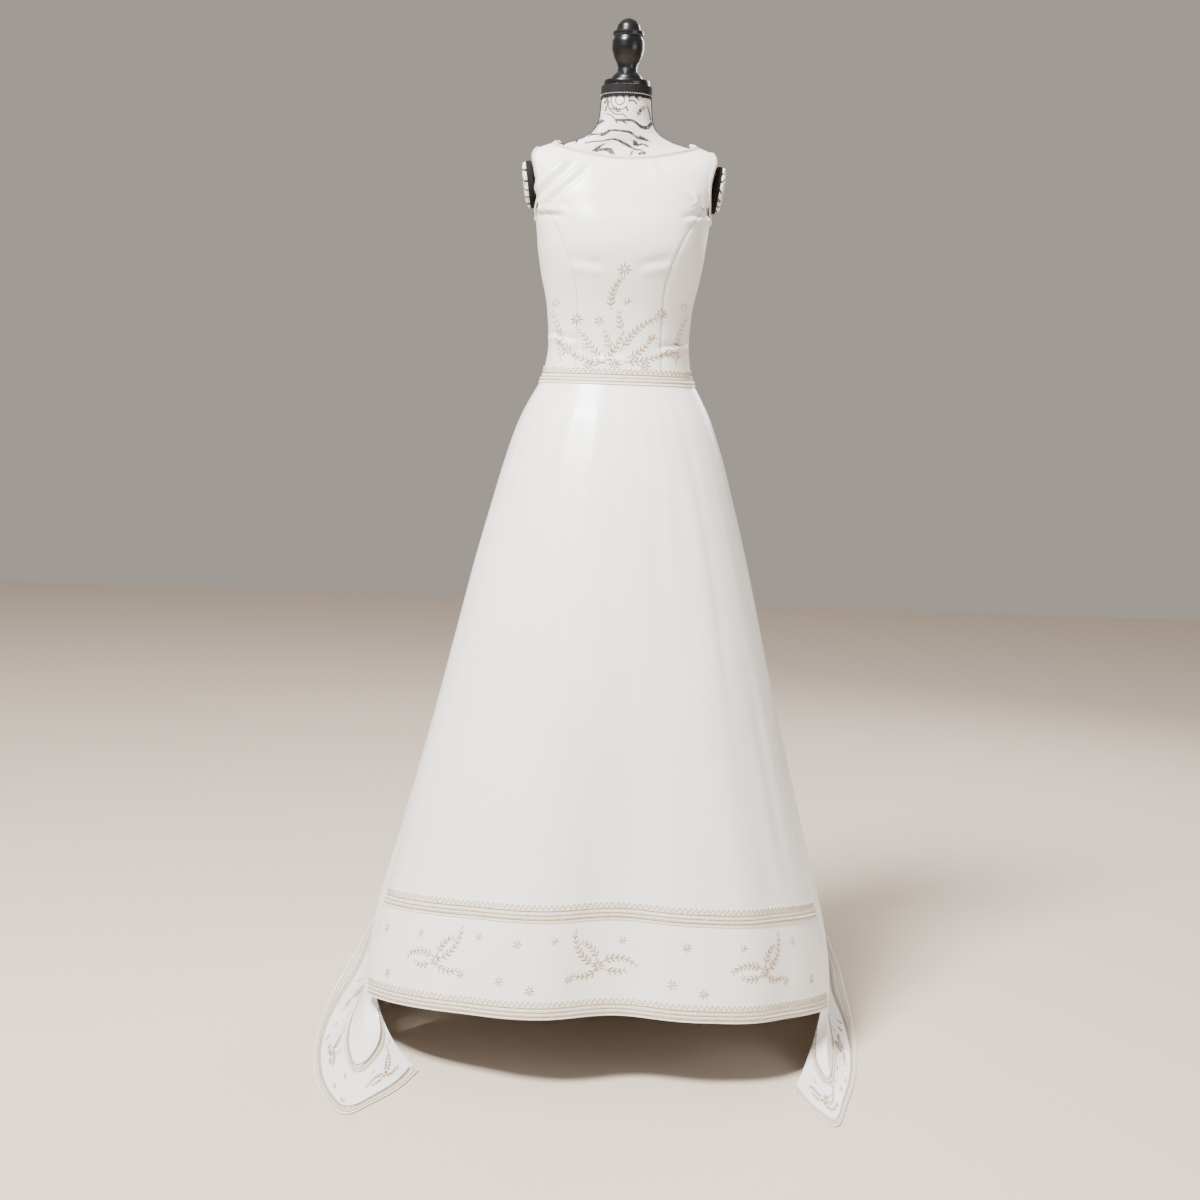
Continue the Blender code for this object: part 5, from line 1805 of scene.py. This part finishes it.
ARM_PLATE_CENTRE = 1.488
ARM_PLATE_HALF_HEIGHT = 0.043
ARM_PLATE_HALF_DEPTH = 0.029
ARM_PLATE_LEAN = math.radians(-8.0)
RING_PROFILE = (
    (0.92, 0.0),
    (0.95, 0.001),
    (0.97, 0.003),
    (0.98, 0.006),
    (0.98, 0.009),
    (0.96, 0.0108),
    (0.93, 0.0110),
)
PLATE_PROFILE = (
    (0.93, 0.0113),
    (0.95, 0.0130),
    (0.94, 0.0152),
    (0.88, 0.0170),
    (0.72, 0.0185),
    (0.45, 0.0195),
    (0.20, 0.0198),
    (0.02, 0.0198),
)


def oval_plate(name, profile, side, finish, segments=72):
    """A closed oval dome that faces sideways out of the armhole."""
    points, faces = [], []
    middle = station(ARM_PLATE_CENTRE)
    seat = form_point(1.0, middle).x - 0.0010
    centre = form_point(armhole_middle(middle), middle).y
    lean = ARM_PLATE_LEAN
    for share, height in profile:
        for k in range(segments):
            angle = 2.0 * math.pi * k / segments
            deep = share * ARM_PLATE_HALF_DEPTH * math.cos(angle)
            high = share * ARM_PLATE_HALF_HEIGHT * math.sin(angle)
            out = seat + height * math.cos(lean) - high * math.sin(lean)
            up = ARM_PLATE_CENTRE + height * math.sin(lean) + high * math.cos(lean)
            points.append((side * out, centre + deep, up))
    for r in range(len(profile) - 1):
        for k in range(segments):
            after = (k + 1) % segments
            low, high = r * segments, (r + 1) * segments
            face = (low + k, low + after, high + after, high + k)
            faces.append(face if side > 0 else face[::-1])
    bottom = tuple(range(segments))[::-1]
    top = tuple((len(profile) - 1) * segments + k for k in range(segments))
    faces += [bottom, top] if side > 0 else [bottom[::-1], top[::-1]]
    mesh = bpy.data.meshes.new(name)
    mesh.from_pydata(points, [], faces)
    mesh.materials.append(finish)
    mesh.shade_smooth()
    mesh.set_sharp_from_angle(angle=math.radians(50.0))
    thing = bpy.data.objects.new(name, mesh)
    bpy.context.scene.collection.objects.link(thing)
    return thing


for side, name in ((1, "left"), (-1, "right")):
    for kind, profile, finish, slot in (
        ("ring", RING_PROFILE, black_lace, "black_ribbon"),
        ("plate", PLATE_PROFILE, printed_cover, "form_cover"),
    ):
        piece = oval_plate(f"arm_{kind}_{name}", profile, side, finish)
        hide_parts(f"form_arm_{kind}_{name}")
        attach(piece, "root")
print("form trimmings made")

# %% [markdown]
# The finial is turned from one piece of wood and lacquered black. On a lathe the shape comes
# from its profile, so here a circle is drawn up the axis ring by ring: each step extrudes the
# top face and scales it to the next radius of the profile.

# %% Finial
# Columns: radius, height
FINIAL = (
    (0.0405, 0.0003),
    (0.0410, 0.0060),
    (0.0400, 0.0100),
    (0.0280, 0.0110),
    (0.0270, 0.0160),
    (0.0240, 0.0205),
    (0.0180, 0.0260),
    (0.0168, 0.0330),
    (0.0185, 0.0400),
    (0.0245, 0.0520),
    (0.0285, 0.0660),
    (0.0280, 0.0800),
    (0.0245, 0.0880),
    (0.0270, 0.0905),
    (0.0275, 0.0945),
    (0.0255, 0.0975),
    (0.0215, 0.0990),
    (0.0195, 0.1080),
    (0.0130, 0.1160),
    (0.0060, 0.1195),
)
FINIAL_ROUNDING = 3


def finial_rows():
    """The profile with soft rounds between the measured rings."""
    found = []
    for before, after in zip(FINIAL, FINIAL[1:]):
        for k in range(FINIAL_ROUNDING):
            t = k / FINIAL_ROUNDING
            found.append(tuple(a + (b - a) * t for a, b in zip(before, after)))
    return found + [FINIAL[-1]]


def turn_piece(name, profile, base, finish, segments=64):
    """A closed turned solid, extruded ring by ring up the z axis."""
    deselect()
    radius, height = profile[0]
    bpy.ops.mesh.primitive_circle_add(
        vertices=segments, radius=radius, fill_type="NGON", location=(0.0, 0.0, base + height)
    )
    piece = bpy.context.object
    piece.name = name
    bpy.ops.object.transform_apply(location=True, rotation=False, scale=False)
    bpy.ops.object.mode_set(mode="EDIT")
    bpy.ops.mesh.select_all(action="SELECT")
    for before, after in zip(profile, profile[1:]):
        rise = {"value": (0.0, 0.0, after[1] - before[1])}
        bpy.ops.mesh.extrude_region_move(TRANSFORM_OT_translate=rise)
        share = after[0] / before[0]
        middle = (0.0, 0.0, base + after[1])
        bpy.ops.transform.resize(value=(share, share, 1.0), center_override=middle)
    bpy.ops.mesh.select_all(action="SELECT")
    bpy.ops.mesh.normals_make_consistent(inside=False)
    bpy.ops.object.mode_set(mode="OBJECT")
    piece.data.materials.append(finish)
    piece.data.shade_smooth()
    piece.data.set_sharp_from_angle(angle=math.radians(35.0))
    return piece


finial = turn_piece("turned_finial", finial_rows(), FORM[-1][0], black_lacquer)
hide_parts("form_finial")
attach(finial, "root")
print("finial faces:", len(finial.data.polygons))

# %% [markdown]
# The stand is hidden by the skirt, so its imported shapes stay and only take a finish.

# %% The stand's finishes
for node, finish in (
    ("form_stand_hub", black_lacquer),
    ("form_leg_1", black_lacquer),
    ("form_leg_2", black_lacquer),
    ("form_leg_3", black_lacquer),
    ("form_pole", dark_steel),
    ("form_pole_plate", dark_steel),
):
    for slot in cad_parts[node].material_slots:
        slot.material = finish
print("stand finished")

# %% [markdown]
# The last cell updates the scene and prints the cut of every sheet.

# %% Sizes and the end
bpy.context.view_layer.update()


for cut in cuts:
    print("cut", *cut)
